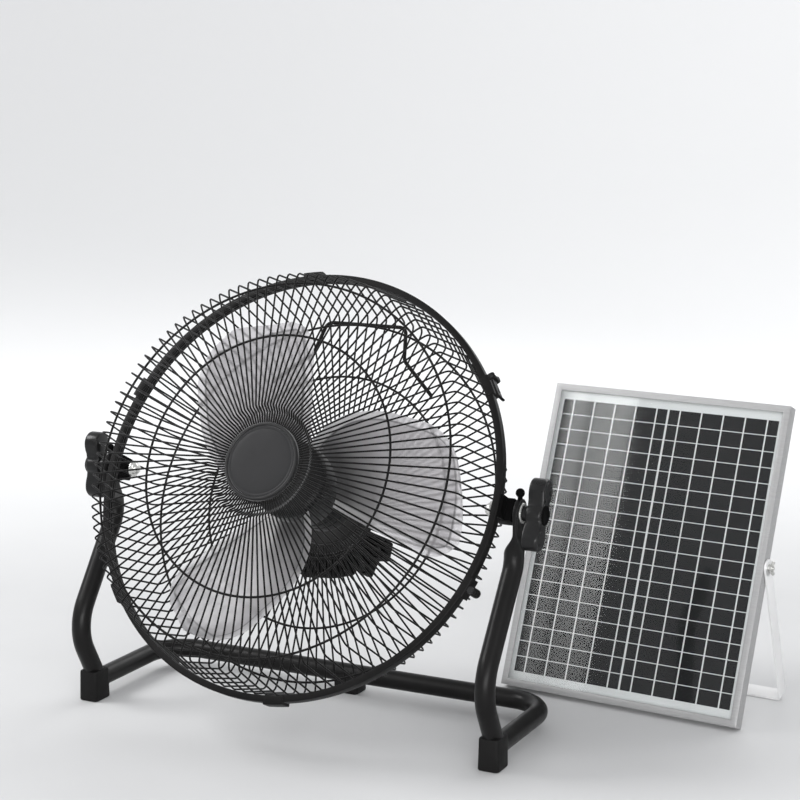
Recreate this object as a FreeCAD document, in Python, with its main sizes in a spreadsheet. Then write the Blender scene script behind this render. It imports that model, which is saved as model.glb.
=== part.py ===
import FreeCAD, Part
import math
import os
import Sketcher
from FreeCAD import Placement, Rotation, Vector

# Portable solar floor fan: an 18 inch wire-guard fan head that tilts in a bent
# tube floor stand, with a separate framed solar panel on its own folding prop.
# Millimetres, +Z up. The fan blows toward -Y, the panel stands behind its right
# (+X) side. The origin is on the floor under the middle of the bounding box.

doc = FreeCAD.newDocument("solar_floor_fan")
sheet = doc.addObject("Spreadsheet::Sheet", "Dims")

# alias, value, note
DIMENSIONS = [
    # whole object
    ("shift_x", -101.485, "moves everything so that the bounding box is centred on the origin"),
    ("shift_y", -118.142, "same, front to back"),
    ("ring_height", 314.2, "centre of the guard ring above the floor at rest"),
    ("head_tilt", 26.7, "upward tilt of the fan axis at rest, degrees"),
    # guards
    ("band_outer", 277.0, "outer radius of the plastic band round the two guards"),
    ("band_half", 7.2, "half width of the band"),
    ("band_wall", 3.6, "outer wall of the band"),
    ("band_lip", 8.3, "depth of the band's side lips"),
    ("rim_radius", 270.75, "centre radius of each guard's rim hoop"),
    ("rim_wire", 2.4, "radius of the rim wire"),
    ("wire_rad", 1.2, "radius of a radial guard wire"),
    ("hoop_rad", 1.5, "radius of a hoop wire"),
    ("wire_count", 112, "radial wires in each guard"),
    ("rear_offset", 14.0, "how far the rear wires pass beside the axis"),
    ("pivot_back", 23.5, "tilt axis behind the ring plane"),
    # badge
    ("badge_rad", 49.4, "outer radius of the centre badge"),
    ("badge_inner", 44.6, "radius of the badge plate"),
    ("badge_back", 95.3, "rear plane of the badge"),
    # motor
    ("shaft_rad", 4.0, "motor shaft"),
    ("bearing_rad", 11.0, "bearing outer radius"),
    ("can_rad", 40.0, "motor can outer radius"),
    ("can_wall", 2.5, "motor can wall"),
    ("can_back", -90.05, "rear face of the motor can"),
    ("can_front", -34.0, "front edge of the motor can"),
    ("plate_rad", 68.0, "rear mount plate radius"),
    ("plate_back", -97.2, "rear face of the mount plate"),
    # impeller
    ("hub_rad", 50.0, "impeller hub"),
    ("tip_rad", 229.0, "blade tip radius"),
    ("blade_thick", 2.4, "blade thickness"),
    ("blade_front", 20.0, "trailing edge ahead of the ring plane"),
    ("blade_rear", 22.0, "leading edge behind the ring plane"),
    # housing
    ("house_back", -127.0, "rear edge of the control housing"),
    ("house_front", -97.25, "front face of the control housing"),
    ("house_wall", 2.5, "housing wall"),
    ("cover_thick", 2.45, "rear cover"),
    # stand
    ("leg_x", 288.0, "half distance between the leg centre lines"),
    ("tube_rad", 12.5, "stand tube outer radius"),
    ("tube_wall", 1.5, "stand tube wall"),
    ("rail_z", 25.0, "height of the rails and crossbar"),
    ("crossbar_y", 146.0, "crossbar behind the ring centre"),
    ("corner_bend", 50.0, "bend radius of the rear corners"),
    ("plate_thick", 6.0, "flattened tube end"),
    ("leg_plate_x", 291.0, "inner face of the flattened tube end"),
    ("bolt_rad", 4.0, "pivot bolt"),
    ("foot_height", 41.0, "front foot"),
    # knobs
    ("knob_in", 299.1, "inner face of the knob hub"),
    ("knob_body", 306.0, "inner face of the knob lobes"),
    ("knob_out", 326.0, "outer face of the knob lobes"),
    ("knob_lobe", 15.0, "lobe radius"),
    ("knob_reach", 29.5, "lobe centre from the knob axis"),
    # panel
    ("panel_x", 176.4, "lower left front corner of the panel"),
    ("panel_y", 247.5, "same"),
    ("panel_yaw", -5.15, "degrees"),
    ("panel_lean", 21.24, "degrees back from upright"),
    ("panel_wide", 337.2, "panel width"),
    ("panel_high", 419.0, "panel height"),
    ("panel_deep", 20.0, "frame depth"),
    ("frame_wall", 1.6, "frame wall"),
    ("frame_lip", 9.0, "visible face of the frame"),
    ("cell_wide", 153.3, "cell strip width"),
    ("cell_high", 19.9, "cell strip height"),
    ("cell_pitch", 21.07, "cell row pitch"),
    ("cell_gap", 3.0, "gap between the two cell columns"),
    ("stay_pivot", 208.5, "prop pivot above the lower edge"),
    ("stay_depth", 12.0, "prop pivot behind the front face"),
    ("stay_reach", 206.95, "prop length from its pivot"),
    ("stay_wide", 22.0, "prop strip width"),
    ("stay_thick", 2.5, "prop strip thickness"),
    ("stay_open", 42.24, "degrees between the prop and the panel"),
]
for row, (alias, value, note) in enumerate(DIMENSIONS, 1):
    sheet.set("A%d" % row, alias)
    sheet.set("B%d" % row, repr(value))
    sheet.set("C%d" % row, note)
    sheet.setAlias("B%d" % row, alias)
doc.recompute()
DIM = {alias: float(sheet.get(alias)) for alias, value, note in DIMENSIONS}


class Linked:
    """A number together with the sheet expression that gives it."""

    def __init__(self, value, text=None):
        self.value = float(value)
        self.text = text or "(%r)" % self.value

    def __add__(self, other):
        other = as_linked(other)
        return Linked(self.value + other.value, "(%s + %s)" % (self.text, other.text))

    def __sub__(self, other):
        other = as_linked(other)
        return Linked(self.value - other.value, "(%s - %s)" % (self.text, other.text))

    def __neg__(self):
        return Linked(-self.value, "(0 - %s)" % self.text)


def as_linked(number):
    return number if isinstance(number, Linked) else Linked(number)


def linked(alias):
    return Linked(DIM[alias], "Dims." + alias)


# --- frames of the three groups --------------------------------------------
# STAND: world axes, the ring centre above its origin.
# HEAD: origin at the ring centre, +Z along the air flow, +Y up, +X to the right.
# PANEL: origin at the lower left front corner, +Y up the panel, +Z toward the light.
SHIFT = Vector(DIM["shift_x"], DIM["shift_y"], 0)
TILT = math.radians(DIM["head_tilt"])
LEAN = DIM["panel_lean"]
X_AXIS, Y_AXIS, Z_AXIS = Vector(1, 0, 0), Vector(0, 1, 0), Vector(0, 0, 1)
ORIGIN = Vector(0, 0, 0)
STAND = Placement(SHIFT, Rotation())
HEAD = Placement(
    SHIFT + Vector(0, 0, DIM["ring_height"]), Rotation(X_AXIS, 90 - DIM["head_tilt"])
)
panel_lift = DIM["panel_deep"] * math.sin(math.radians(LEAN))
PANEL = Placement(
    SHIFT + Vector(DIM["panel_x"], DIM["panel_y"], panel_lift),
    Rotation(Z_AXIS, DIM["panel_yaw"]) * Rotation(X_AXIS, 90 - LEAN),
)
PARTS = []


# --- document helpers ------------------------------------------------------


def keep(obj, name, place):
    """Labels and places an object and lists it for export."""
    obj.Label = name
    obj.Placement = place
    PARTS.append((name, obj))


def feature(name, shape, place):
    obj = doc.addObject("Part::Feature", name)
    obj.Shape = shape
    keep(obj, name, place.multiply(shape.Placement))


def new_body(name):
    return doc.addObject("PartDesign::Body", name + "_body")


def tie(profile, kind, geometry, number):
    """Adds a dimension, bound to the sheet where the number comes from it."""
    index = profile.addConstraint(Sketcher.Constraint(kind, *geometry, number.value))
    if "Dims." in number.text:
        profile.setExpression("Constraints[%d]" % index, number.text)


def sketch(body, role, loops, circles=(), offset=None):
    """Closed polygons of (a, b) corners and circles of (a, b, radius)."""
    profile = body.newObject("Sketcher::SketchObject", body.Name + "_sketch")
    plane = next(item for item in body.Origin.OriginFeatures if item.Role == role)
    profile.AttachmentSupport = [(plane, "")]
    profile.MapMode = "FlatFace"
    if offset is not None:
        offset = as_linked(offset)
        profile.AttachmentOffset = Placement(Vector(0, 0, offset.value), Rotation())
        profile.setExpression("AttachmentOffset.Base.z", offset.text)
    for loop in loops:
        points = [(as_linked(x), as_linked(y)) for x, y in loop]
        corners = [Vector(x.value, y.value, 0) for x, y in points]
        count, first = len(points), profile.GeometryCount
        for i in range(count):
            profile.addGeometry(Part.LineSegment(corners[i], corners[(i + 1) % count]), False)
        for i in range(count):
            following = first + (i + 1) % count
            profile.addConstraint(Sketcher.Constraint("Coincident", first + i, 2, following, 1))
        for i, (x, y) in enumerate(points):
            tie(profile, "DistanceX", (-1, 1, first + i, 1), x)
            tie(profile, "DistanceY", (-1, 1, first + i, 1), y)
    for circle in circles:
        x, y, radius = [as_linked(number) for number in circle]
        round_edge = Part.Circle(Vector(x.value, y.value, 0), Z_AXIS, radius.value)
        index = profile.addGeometry(round_edge, False)
        tie(profile, "DistanceX", (-1, 1, index, 3), x)
        tie(profile, "DistanceY", (-1, 1, index, 3), y)
        tie(profile, "Radius", (index,), radius)
    return profile


def revolve(body, loop, angle=None):
    """Turns a profile of (radius, z) corners round Z, fully or centred on +X."""
    profile = sketch(body, "XZ_Plane", [loop])
    step = body.newObject("PartDesign::Revolution", body.Name + "_turned")
    step.Profile = profile
    step.ReferenceAxis = (profile, ["V_Axis"])
    step.Angle = 360.0
    if angle is not None:
        step.Angle = angle.value
        step.setExpression("Angle", angle.text)
        step.Midplane = True


def extrusion(kind, body, length, loops, circles, z):
    profile = sketch(body, "XY_Plane", loops, circles, z)
    step = body.newObject("PartDesign::" + kind, body.Name + "_" + kind.lower())
    step.Profile = profile
    step.Length = as_linked(length).value
    step.setExpression("Length", as_linked(length).text)
    return step


def pad(body, length, loops=(), circles=(), z=0):
    extrusion("Pad", body, length, loops, circles, z)


def pocket(body, length, loops=(), circles=(), z=0, up=False):
    """Cuts from plane z downward, or upward when up is true."""
    extrusion("Pocket", body, length, loops, circles, z).Reversed = up


def rounds(places, radius):
    return [(x, y, radius) for x, y in places]


def on_circle(count, radius, first):
    """Evenly spaced places on a circle, the first at an angle in degrees."""
    angles = [math.radians(first + 360.0 * k / count) for k in range(count)]
    return [(radius * math.cos(angle), radius * math.sin(angle)) for angle in angles]


# --- shape helpers ---------------------------------------------------------


def filleted(points, radii):
    """Lines joined by tangent arcs through a row of 3D points."""
    edges, start = [], points[0]
    for before, corner, after, radius in zip(points, points[1:], points[2:], radii):
        backward, forward = before - corner, after - corner
        backward.normalize()
        forward.normalize()
        half_angle = math.acos(max(-1, min(1, backward.dot(forward)))) / 2
        trim = radius / math.tan(half_angle)
        arc_start, arc_end = corner + backward * trim, corner + forward * trim
        bisector = backward + forward
        bisector.normalize()
        centre = corner + bisector * (radius / math.sin(half_angle))
        if (arc_start - start).Length > 1e-6:
            edges.append(Part.LineSegment(start, arc_start).toShape())
        edges.append(Part.Arc(arc_start, centre - bisector * radius, arc_end).toShape())
        start = arc_end
    edges.append(Part.LineSegment(start, points[-1]).toShape())
    return Part.Wire(edges)


def pipe(path, radius):
    """A round solid along a smooth path."""
    edge = path.OrderedEdges[0]
    start = path.OrderedVertexes[0].Point
    ends = (edge.FirstParameter, edge.LastParameter)
    gaps = [(edge.valueAt(end) - start).Length for end in ends]
    parameter = ends[0] if gaps[0] < gaps[1] else ends[1]
    profile = Part.Wire([Part.makeCircle(radius, start, edge.tangentAt(parameter))])
    return path.makePipeShell([profile], True, False).Solids[0]


def torus(radius, wire, z):
    return Part.makeTorus(radius, wire, Vector(0, 0, z), Z_AXIS)


def spun(shape, degrees):
    """A copy turned about the Z axis."""
    copy = shape.copy()
    copy.rotate(ORIGIN, Z_AXIS, degrees)
    return copy


def mirror_x(shape, middle=0.0):
    return shape.mirror(Vector(middle, 0, 0), X_AXIS)


def both_sides(*shapes, middle=0.0):
    return Part.Compound(list(shapes) + [mirror_x(shape, middle) for shape in shapes])


def cyl_x(radius, x0, x1, y=0.0, z=0.0):
    return Part.makeCylinder(radius, x1 - x0, Vector(x0, y, z), X_AXIS)


def cyl_z(radius, length, x, y, z):
    return Part.makeCylinder(radius, length, Vector(x, y, z))


def box(x0, x1, y0, y1, z0, z1):
    return Part.makeBox(x1 - x0, y1 - y0, z1 - z0, Vector(x0, y0, z0))


def one_solid(shape):
    return shape.removeSplitter().Solids[0]


def screws(places, head, shank):
    """Screws along Z; head and shank are each (radius, length, lower z)."""
    solids = []
    for x, y in places:
        head_shape = cyl_z(head[0], head[1], x, y, head[2])
        solids.append(one_solid(head_shape.fuse(cyl_z(shank[0], shank[1], x, y, shank[2]))))
    return solids


def soften(shape, radius, test):
    """Fillets the edges that a test picks."""
    edges = [edge for edge in shape.Edges if test(edge)]
    # Guards against a fillet that fails: the shape then stays sharp.
    try:
        rounded = shape.makeFillet(radius, edges)
        if rounded.isValid() and rounded.Solids:
            return rounded.Solids[0]
    except Exception:
        pass
    return shape


def runs_along(axis, least):
    """Test for edges whose ends are more than a distance apart along an axis."""

    def test(edge):
        first, last = edge.Vertexes[0].Point, edge.Vertexes[-1].Point
        return abs(getattr(first, axis) - getattr(last, axis)) > least

    return test


def lies_at(axis, place):
    """Test for edges with every vertex at one place on an axis."""
    return lambda edge: all(
        abs(getattr(vertex.Point, axis) - place) < 1e-4 for vertex in edge.Vertexes
    )


# --- fan head: guards ------------------------------------------------------
WIRE_RADIUS, HOOP_RADIUS = DIM["wire_rad"], DIM["hoop_rad"]
RIM_RADIUS, RIM_WIRE = DIM["rim_radius"], DIM["rim_wire"]
RIM_Z = 2.6  # rim hoops either side of the ring plane
HOOP_GAP = 0.02  # between a hoop and the wires it touches
wire_count = int(DIM["wire_count"])
wire_pitch = 360.0 / wire_count
wire_end = RIM_RADIUS - RIM_WIRE - WIRE_RADIUS - 0.1

# Wire centre lines: (radius, z), then the bend radius at each inner point.
FRONT_WIRE = [
    (46.5, 93.7), (64.0, 95.5), (70.5, 104.5), (243.0, 79.4), (252.5, 75.5), (wire_end, 0.9),
]
FRONT_BENDS = [4.0, 4.0, 25.0, 9.0]
REAR_WIRE = [(58.5, -92.3), (240.0, -78.6), (252.5, -76.0), (wire_end, -0.9)]
REAR_BENDS = [40.0, 10.0]
# radius at which a rear wire, set beside the axis, crosses its nominal angle
REAR_LEAD_RADIUS = 262.7


def guard_wire(points, bends, beside=0.0):
    """A wire in a plane parallel to the axis, beside it by a fixed distance."""
    line = [
        Vector(math.sqrt(radius * radius - beside * beside), -beside, z) for radius, z in points
    ]
    return pipe(filleted(line, bends), WIRE_RADIUS)


def guard_wires(name, wire, lead):
    copies = [spun(wire, (k + 0.5) * wire_pitch + lead) for k in range(wire_count)]
    feature(name, Part.Compound(copies), HEAD)


rear_lead = math.degrees(math.asin(DIM["rear_offset"] / REAR_LEAD_RADIUS))
guard_wires("front_guard_wires", guard_wire(FRONT_WIRE, FRONT_BENDS), 0.0)
guard_wires(
    "rear_guard_wires", guard_wire(REAR_WIRE, REAR_BENDS, DIM["rear_offset"]), rear_lead
)


def hoop_inside(start, end, radius, side):
    """A hoop against the straight wire run start-end, on its +Z or -Z side."""
    run_r, run_z = end[0] - start[0], end[1] - start[1]
    length = math.hypot(run_r, run_z)
    z = start[1] + run_z / run_r * (radius - start[0])
    normal_r, normal_z = -run_z / length, run_r / length
    if normal_z * side < 0:
        normal_r, normal_z = -normal_r, -normal_z
    gap = WIRE_RADIUS + HOOP_RADIUS + HOOP_GAP
    return torus(radius + normal_r * gap, HOOP_RADIUS, z + normal_z * gap)


def guard_hoops(name, side, hoops):
    """Inner hoops, each (wire points, first point of the run, radius), and the rim."""
    shapes = [hoop_inside(wire[i], wire[i + 1], radius, side) for wire, i, radius in hoops]
    shapes.append(torus(RIM_RADIUS, RIM_WIRE, -side * RIM_Z))
    feature(name, Part.Compound(shapes), HEAD)


guard_hoops(
    "front_guard_hoops", -1, [(FRONT_WIRE, 0, 48.0), (FRONT_WIRE, 2, 166.0), (FRONT_WIRE, 2, 238.4)]
)
guard_hoops(
    "rear_guard_hoops", 1, [(REAR_WIRE, 0, 76.0), (REAR_WIRE, 0, 168.0), (REAR_WIRE, 0, 238.0)]
)

# band: a channel that holds both rims
outer, half, lip = linked("band_outer"), linked("band_half"), linked("band_lip")
wall = linked("band_wall")
LIP_THICK = 2
body = new_body("guard_band")
revolve(body, [
    (outer - lip, -half), (outer, -half), (outer, half), (outer - lip, half),
    (outer - lip, half - LIP_THICK), (outer - wall, half - LIP_THICK),
    (outer - wall, -half + LIP_THICK), (outer - lip, -half + LIP_THICK),
])
keep(body, "guard_band", HEAD)

# clips over the band: six, one with hinge ears for the lever, one with a screw lug
CLIP_ANGLE = 5.4
PLAIN_CLIP_ANGLES = (98, 158, 218, 278)
LEVER_ANGLE, LUG_ANGLE = 32, -22
CLIP_GAP = 0.06
BAND = DIM["band_outer"]
PIN_X, PIN_Y = BAND + 7.6, 8.5
LUG_X = BAND + 9.2
body = new_body("clip_master")
revolve(body, [
    (outer - 6.5, -10), (outer + 3.5, -10), (outer + 3.5, 10), (outer - 6.5, 10),
    (outer - 6.5, 7.35), (outer + CLIP_GAP, 7.35),
    (outer + CLIP_GAP, -7.35), (outer - 6.5, -7.35),
], Linked(CLIP_ANGLE))
doc.recompute()
clip = body.Shape.copy().Solids[0]


def through(radius, x=0, y=0):
    """A cutter along Z, longer than any band fitting."""
    return cyl_z(radius, 40, x, y, -20)


band_space = through(BAND + CLIP_GAP)
ears = box(BAND + 1.0, BAND + 11.6, 4.5, 13.0, 7.5, 9.6)
ears = ears.fuse(box(BAND + 1.0, BAND + 11.6, 4.5, 13.0, -9.6, -7.5))
lever_clip = clip.fuse(ears.cut(band_space)).cut(through(1.65, PIN_X, PIN_Y))
lug = cyl_z(5.6, 18.0, LUG_X, 0, -9).fuse(box(BAND + 1.0, LUG_X, -4.2, 4.2, -9, 9))
lug_clip = clip.fuse(lug.cut(band_space)).cut(through(2.15, LUG_X))
clips = [spun(clip, angle) for angle in PLAIN_CLIP_ANGLES]
clips.append(spun(one_solid(lever_clip), LEVER_ANGLE))
clips.append(spun(one_solid(lug_clip), LUG_ANGLE))
feature("guard_clips", Part.Compound(clips), HEAD)

lever = cyl_z(3.6, 14.6, PIN_X, PIN_Y, -7.3)
lever = lever.fuse(box(BAND + 4.2, BAND + 6.6, -19.0, PIN_Y, -7.3, 7.3))
lever = lever.fuse(box(BAND + 4.2, BAND + 8.4, -21.5, -19.0, -7.3, 7.3))
lever = one_solid(lever.cut(through(1.7, PIN_X, PIN_Y)))
feature("latch_lever", spun(lever, LEVER_ANGLE), HEAD)
feature("latch_pin", spun(cyl_z(1.6, 20.6, PIN_X, PIN_Y, -10.3), LEVER_ANGLE), HEAD)

# screw and hexagon nut in the lug
screw = screws([(LUG_X, 0)], head=(4.2, 2.4, 9.05), shank=(2.05, 22.0, -12.8))[0]
corners = [k * math.pi / 3 for k in range(7)]
hexagon = Part.makePolygon(
    [Vector(LUG_X + 4.1 * math.cos(a), 4.1 * math.sin(a), -12.3) for a in corners]
)
nut = Part.Face(hexagon).extrude(Vector(0, 0, 3.2)).cut(through(2.1, LUG_X))
feature("band_screw", Part.Compound([spun(screw, LUG_ANGLE), spun(nut, LUG_ANGLE)]), HEAD)

# badge in the middle of the front guard, with its clamp plate behind the wires
rim, inner, back = linked("badge_rad"), linked("badge_inner"), linked("badge_back")
badge_screw_places = on_circle(3, 35.0, 90)
body = new_body("badge_rim")
revolve(body, [
    (inner - 3.6, back), (rim, back), (rim, back + 4.2), (rim - 1.2, back + 6.1),
    (rim - 3.6, back + 6.1), (inner + 0.15, back + 5.1), (inner + 0.15, back + 1.6),
    (inner - 3.6, back + 1.6),
])
keep(body, "badge_rim", HEAD)

body = new_body("badge_plate")
revolve(body, [
    (0, back + 1.7), (inner, back + 1.7), (inner, back + 4.2), (inner - 5, back + 5.0),
    (inner - 20, back + 5.5), (0, back + 5.7),
])
pad(body, 1.9, circles=rounds(badge_screw_places, 3.6), z=back)
pocket(body, 4.0, circles=rounds(badge_screw_places, 1.65), z=back - 0.01, up=True)
keep(body, "badge_plate", HEAD)

body = new_body("badge_backing")
revolve(body, [
    (0, back - 8.8), (51, back - 8.8), (51, back - 5.8), (40, back - 5.8),
    (40, back - 0.1), (30, back - 0.1), (30, back - 5.8), (0, back - 5.8),
])
pocket(body, 20, circles=rounds(badge_screw_places, 1.75), z=back)
keep(body, "badge_backing", HEAD)

badge_screws = screws(
    badge_screw_places,
    head=(3.2, 2.4, back.value - 11.25),
    shank=(1.6, 12.6, back.value - 8.9),
)
feature("badge_screws", Part.Compound(badge_screws), HEAD)

# carry handle: one bent rod behind the rear wires
HANDLE_HALF = [Vector(117, 153, -86.1), Vector(67, 198, -88.5), Vector(58, 244, -92.0)]
handle_line = HANDLE_HALF + [Vector(-p.x, p.y, p.z) for p in reversed(HANDLE_HALF)]
feature("carry_handle", pipe(filleted(handle_line, [18, 11, 11, 18]), 2.5), HEAD)

# --- fan head: motor -------------------------------------------------------
shaft, bearing, can = linked("shaft_rad"), linked("bearing_rad"), linked("can_rad")
can_back, can_front = linked("can_back"), linked("can_front")
plate, plate_back = linked("plate_rad"), linked("plate_back")
can_bore = can - linked("can_wall")
seat = bearing + 0.02
motor_screw_places = on_circle(4, 28.0, 45)

body = new_body("motor_mount_plate")
revolve(body, [
    (9, plate_back), (plate, plate_back), (plate, -93.6), (56, -93.6),
    (56, can_back - 0.05), (9, can_back - 0.05),
])
pocket(body, 20, circles=rounds(motor_screw_places, 2.0), z=-85)
keep(body, "motor_mount_plate", HEAD)

body = new_body("motor_can")
revolve(body, [
    (6, can_back), (can, can_back), (can, can_front), (can_bore, can_front),
    (can_bore, can_back + 3.05), (14, can_back + 3.05), (14, can_back + 10.15),
    (seat, can_back + 10.15), (seat, can_back + 3.05), (6, can_back + 3.05),
])
pocket(body, 8, circles=rounds(motor_screw_places, 1.95), z=-84)
keep(body, "motor_can", HEAD)

body = new_body("motor_end_cap")
revolve(body, [
    (6, can_front + 4), (can, can_front + 4), (can, can_front + 0.05),
    (can_bore - 0.1, can_front + 0.05), (can_bore - 0.1, can_front - 3),
    (14, can_front - 3), (14, can_front - 10), (seat, can_front - 10),
    (seat, can_front - 2.9), (6, can_front - 2.9),
])
keep(body, "motor_end_cap", HEAD)

bearings = []
for z in (DIM["can_back"] + 3.1, DIM["can_front"] - 9.95):
    ring = cyl_z(DIM["bearing_rad"], 7, 0, 0, 0).cut(cyl_z(DIM["shaft_rad"] + 0.02, 9, 0, 0, -1))
    ring.translate(Vector(0, 0, z))
    bearings.append(ring)
feature("motor_bearings", Part.Compound(bearings), HEAD)

# stator: a ring with nine slots open to the bore
STATOR_SLOTS = 9
stator = cyl_z(37.45, 26, 0, 0, -74).cut(cyl_z(20, 30, 0, 0, -76))
slot = box(22.5, 33.5, -4.2, 4.2, -76, -46).fuse(box(19.0, 23.0, -1.2, 1.2, -76, -46))
for k in range(STATOR_SLOTS):
    stator = stator.cut(spun(slot, 360.0 / STATOR_SLOTS * k))
feature("motor_stator", one_solid(stator), HEAD)

body = new_body("motor_magnets")
revolve(body, [(shaft + 0.02, -72), (19.2, -72), (19.2, -50), (shaft + 0.02, -50)])
keep(body, "motor_magnets", HEAD)

body = new_body("motor_shaft")
revolve(body, [
    (0, -88.5), (shaft - 0.5, -88.5), (shaft, -88), (shaft, 35), (shaft - 1, 36), (0, 36),
])
keep(body, "motor_shaft", HEAD)

motor_screws = screws(motor_screw_places, head=(3.5, 2.8, -100.05), shank=(1.9, 9.8, -97.3))
feature("motor_screws", Part.Compound(motor_screws), HEAD)

# --- fan head: impeller ----------------------------------------------------
# cup hub and three wide swept blades
hub_edge = linked("hub_rad")
body = new_body("impeller_hub")
revolve(body, [
    (shaft + 0.04, -14), (11, -14), (11, 21), (hub_edge - 3.5, 21), (hub_edge - 3.5, -26),
    (hub_edge, -26), (hub_edge, 19), (hub_edge - 2, 24), (hub_edge - 7, 27), (18, 29),
    (shaft + 0.04, 29),
])
doc.recompute()

# Blade edges: (radius, angle in degrees).
TRAILING_EDGE = [
    (47.5, 73.0), (82, 64.5), (106, 57), (126, 49.5), (150, 40.5), (168, 34), (186, 29),
    (200, 25), (212, 20), (222, 13.5), (229, 4),
]
LEADING_EDGE = [
    (47.5, -24.0), (104, -22), (148, -21), (183, -20.5), (205, -19), (218, -16.5), (229, -12),
]
ROOT_RADIUS = 47.5
BLADE_RADII = [ROOT_RADIUS, 62, 80, 98, 116, 134, 152, 168, 182, 195, 206, 215, 222]
BLADE_RADII.append(DIM["tip_rad"])
CHORD_STEPS = 10
ROOT_ZONE = 90  # inside this radius the trailing edge drops back
ROOT_DROP = 3
CAMBER = 5.5


def angle_at(table, radius):
    for (radius0, angle0), (radius1, angle1) in zip(table, table[1:]):
        if radius <= radius1:
            return angle0 + (angle1 - angle0) * (radius - radius0) / (radius1 - radius0)
    return table[-1][1]


def blade_surface(lift):
    rows = []
    for radius in BLADE_RADII:
        lead, trail = angle_at(LEADING_EDGE, radius), angle_at(TRAILING_EDGE, radius)
        drop = ROOT_DROP * max(ROOT_ZONE - radius, 0) / (ROOT_ZONE - ROOT_RADIUS)
        depth = DIM["blade_front"] - drop + DIM["blade_rear"]
        points = []
        for k in range(CHORD_STEPS + 1):
            part = k / CHORD_STEPS
            angle = math.radians(lead + (trail - lead) * part)
            z = depth * part - DIM["blade_rear"] - CAMBER * 4 * part * (1 - part)
            points.append(Vector(radius * math.cos(angle), radius * math.sin(angle), z + lift))
        rows.append(points)
    surface = Part.BSplineSurface()
    surface.interpolate(rows)
    return surface


def border(surface):
    u0, u1, v0, v1 = surface.bounds()
    curves = [surface.uIso(u0), surface.vIso(v1), surface.uIso(u1), surface.vIso(v0)]
    return [curve.toShape() for curve in curves]


top = blade_surface(DIM["blade_thick"] / 2)
bottom = blade_surface(-DIM["blade_thick"] / 2)
skins = [top.toShape(), bottom.toShape()]
skins += [Part.makeRuledSurface(*edges) for edges in zip(border(top), border(bottom))]
shell = Part.makeShell([face for skin in skins for face in skin.Faces])
shell.sewShape()
blade = Part.Solid(shell.Shells[0])
if blade.Volume < 0:
    blade.reverse()
impeller = body.Shape.copy().Solids[0]
for k in range(3):
    impeller = impeller.fuse(spun(blade, 120.0 * k))
feature("impeller", one_solid(impeller), HEAD)

body = new_body("blade_nut")
revolve(body, [
    (shaft + 0.03, 29.05), (17, 29.05), (17, 33), (12, 39), (0, 40.5), (0, 36.4),
    (shaft + 0.03, 36.4),
])
keep(body, "blade_nut", HEAD)

# --- fan head: rear control housing ----------------------------------------
# Outlines in x, y, counter-clockwise.
HOUSING_OUTLINE = [
    (-48, -22), (-36, -56), (-32.5, -66), (-33, -79), (-37, -91), (-27, -94.5), (14, -91),
    (42, -83), (46, -58), (50, -20), (44, 26), (20, 48), (-20, 48), (-44, 26),
]
POD_OUTLINE = [
    (60, -84), (68.5, -84), (73.5, -62), (88.5, -60.5), (88, -36.5), (49.65, -24), (46.06, -58),
]
POSTS = [(-24, -86), (33, -77), (36, 20), (-35, 20)]
BUTTONS = {"button_power": (-10, -72), "button_speed": (16, -72)}
SOCKET = (68, -50)
COVER_GAP = 0.05


def inset(polygon, distance):
    """A counter-clockwise polygon moved inward, corners kept sharp."""
    moved = []
    for i, (x, y) in enumerate(polygon):
        last, following = polygon[i - 1], polygon[(i + 1) % len(polygon)]
        in_x, in_y = x - last[0], y - last[1]
        out_x, out_y = following[0] - x, following[1] - y
        in_length, out_length = math.hypot(in_x, in_y), math.hypot(out_x, out_y)
        normal0 = (-in_y / in_length, in_x / in_length)
        normal1 = (-out_y / out_length, out_x / out_length)
        scale = distance / (1 + normal0[0] * normal1[0] + normal0[1] * normal1[1])
        moved.append(
            (x + scale * (normal0[0] + normal1[0]), y + scale * (normal0[1] + normal1[1]))
        )
    return moved


house_back, house_front = linked("house_back"), linked("house_front")
house_depth = house_front - house_back
body = new_body("rear_housing")
pad(body, house_depth, [HOUSING_OUTLINE], z=house_back)
cavity = inset(HOUSING_OUTLINE, DIM["house_wall"])
pocket(body, house_depth - linked("house_wall"), [cavity], z=house_back, up=True)
pocket(body, 10, circles=[(0, 0, 36)], z=house_front + 1)
pad(body, house_depth - 1, circles=rounds(POSTS, 4), z=house_back)
pocket(body, 14, circles=rounds(POSTS, 1.65), z=house_back, up=True)
keep(body, "rear_housing", HEAD)

cover = linked("cover_thick")
cover_back = house_back - cover - COVER_GAP
body = new_body("housing_cover")
cover_holes = rounds(POSTS, 1.9) + rounds(BUTTONS.values(), 6.15)
pad(body, cover, [HOUSING_OUTLINE], circles=cover_holes, z=cover_back)
keep(body, "housing_cover", HEAD)

housing_screws = screws(
    POSTS, head=(3.2, 2.2, cover_back.value - 2.25), shank=(1.6, 12.5, cover_back.value - 0.1)
)
feature("housing_screws", Part.Compound(housing_screws), HEAD)

# pod beside the housing, open at the front, with the socket in its rear wall
POD_DEPTH = 23
body = new_body("port_pod")
pad(body, POD_DEPTH, [POD_OUTLINE], z=house_back)
pocket(body, POD_DEPTH - 2.5, [inset(POD_OUTLINE, 2.2)], z=house_back + POD_DEPTH)
pocket(body, 5, circles=[(*SOCKET, 6.06)], z=house_back + 4)
keep(body, "port_pod", HEAD)

# length, lower z, radii
SOCKET_STEPS = [
    (11, -128.5, (6.0, 2.75)),  # barrel
    (2, -124.4, (8.2, 4.0)),  # flange
    (4, -117.5, (6.0,)),  # closed inner end
    (10, -126, (1.05,)),  # centre pin
]
body = new_body("dc_socket")
for length, z, radii in SOCKET_STEPS:
    pad(body, length, circles=[(*SOCKET, radius) for radius in radii], z=z)
keep(body, "dc_socket", HEAD)

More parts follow.
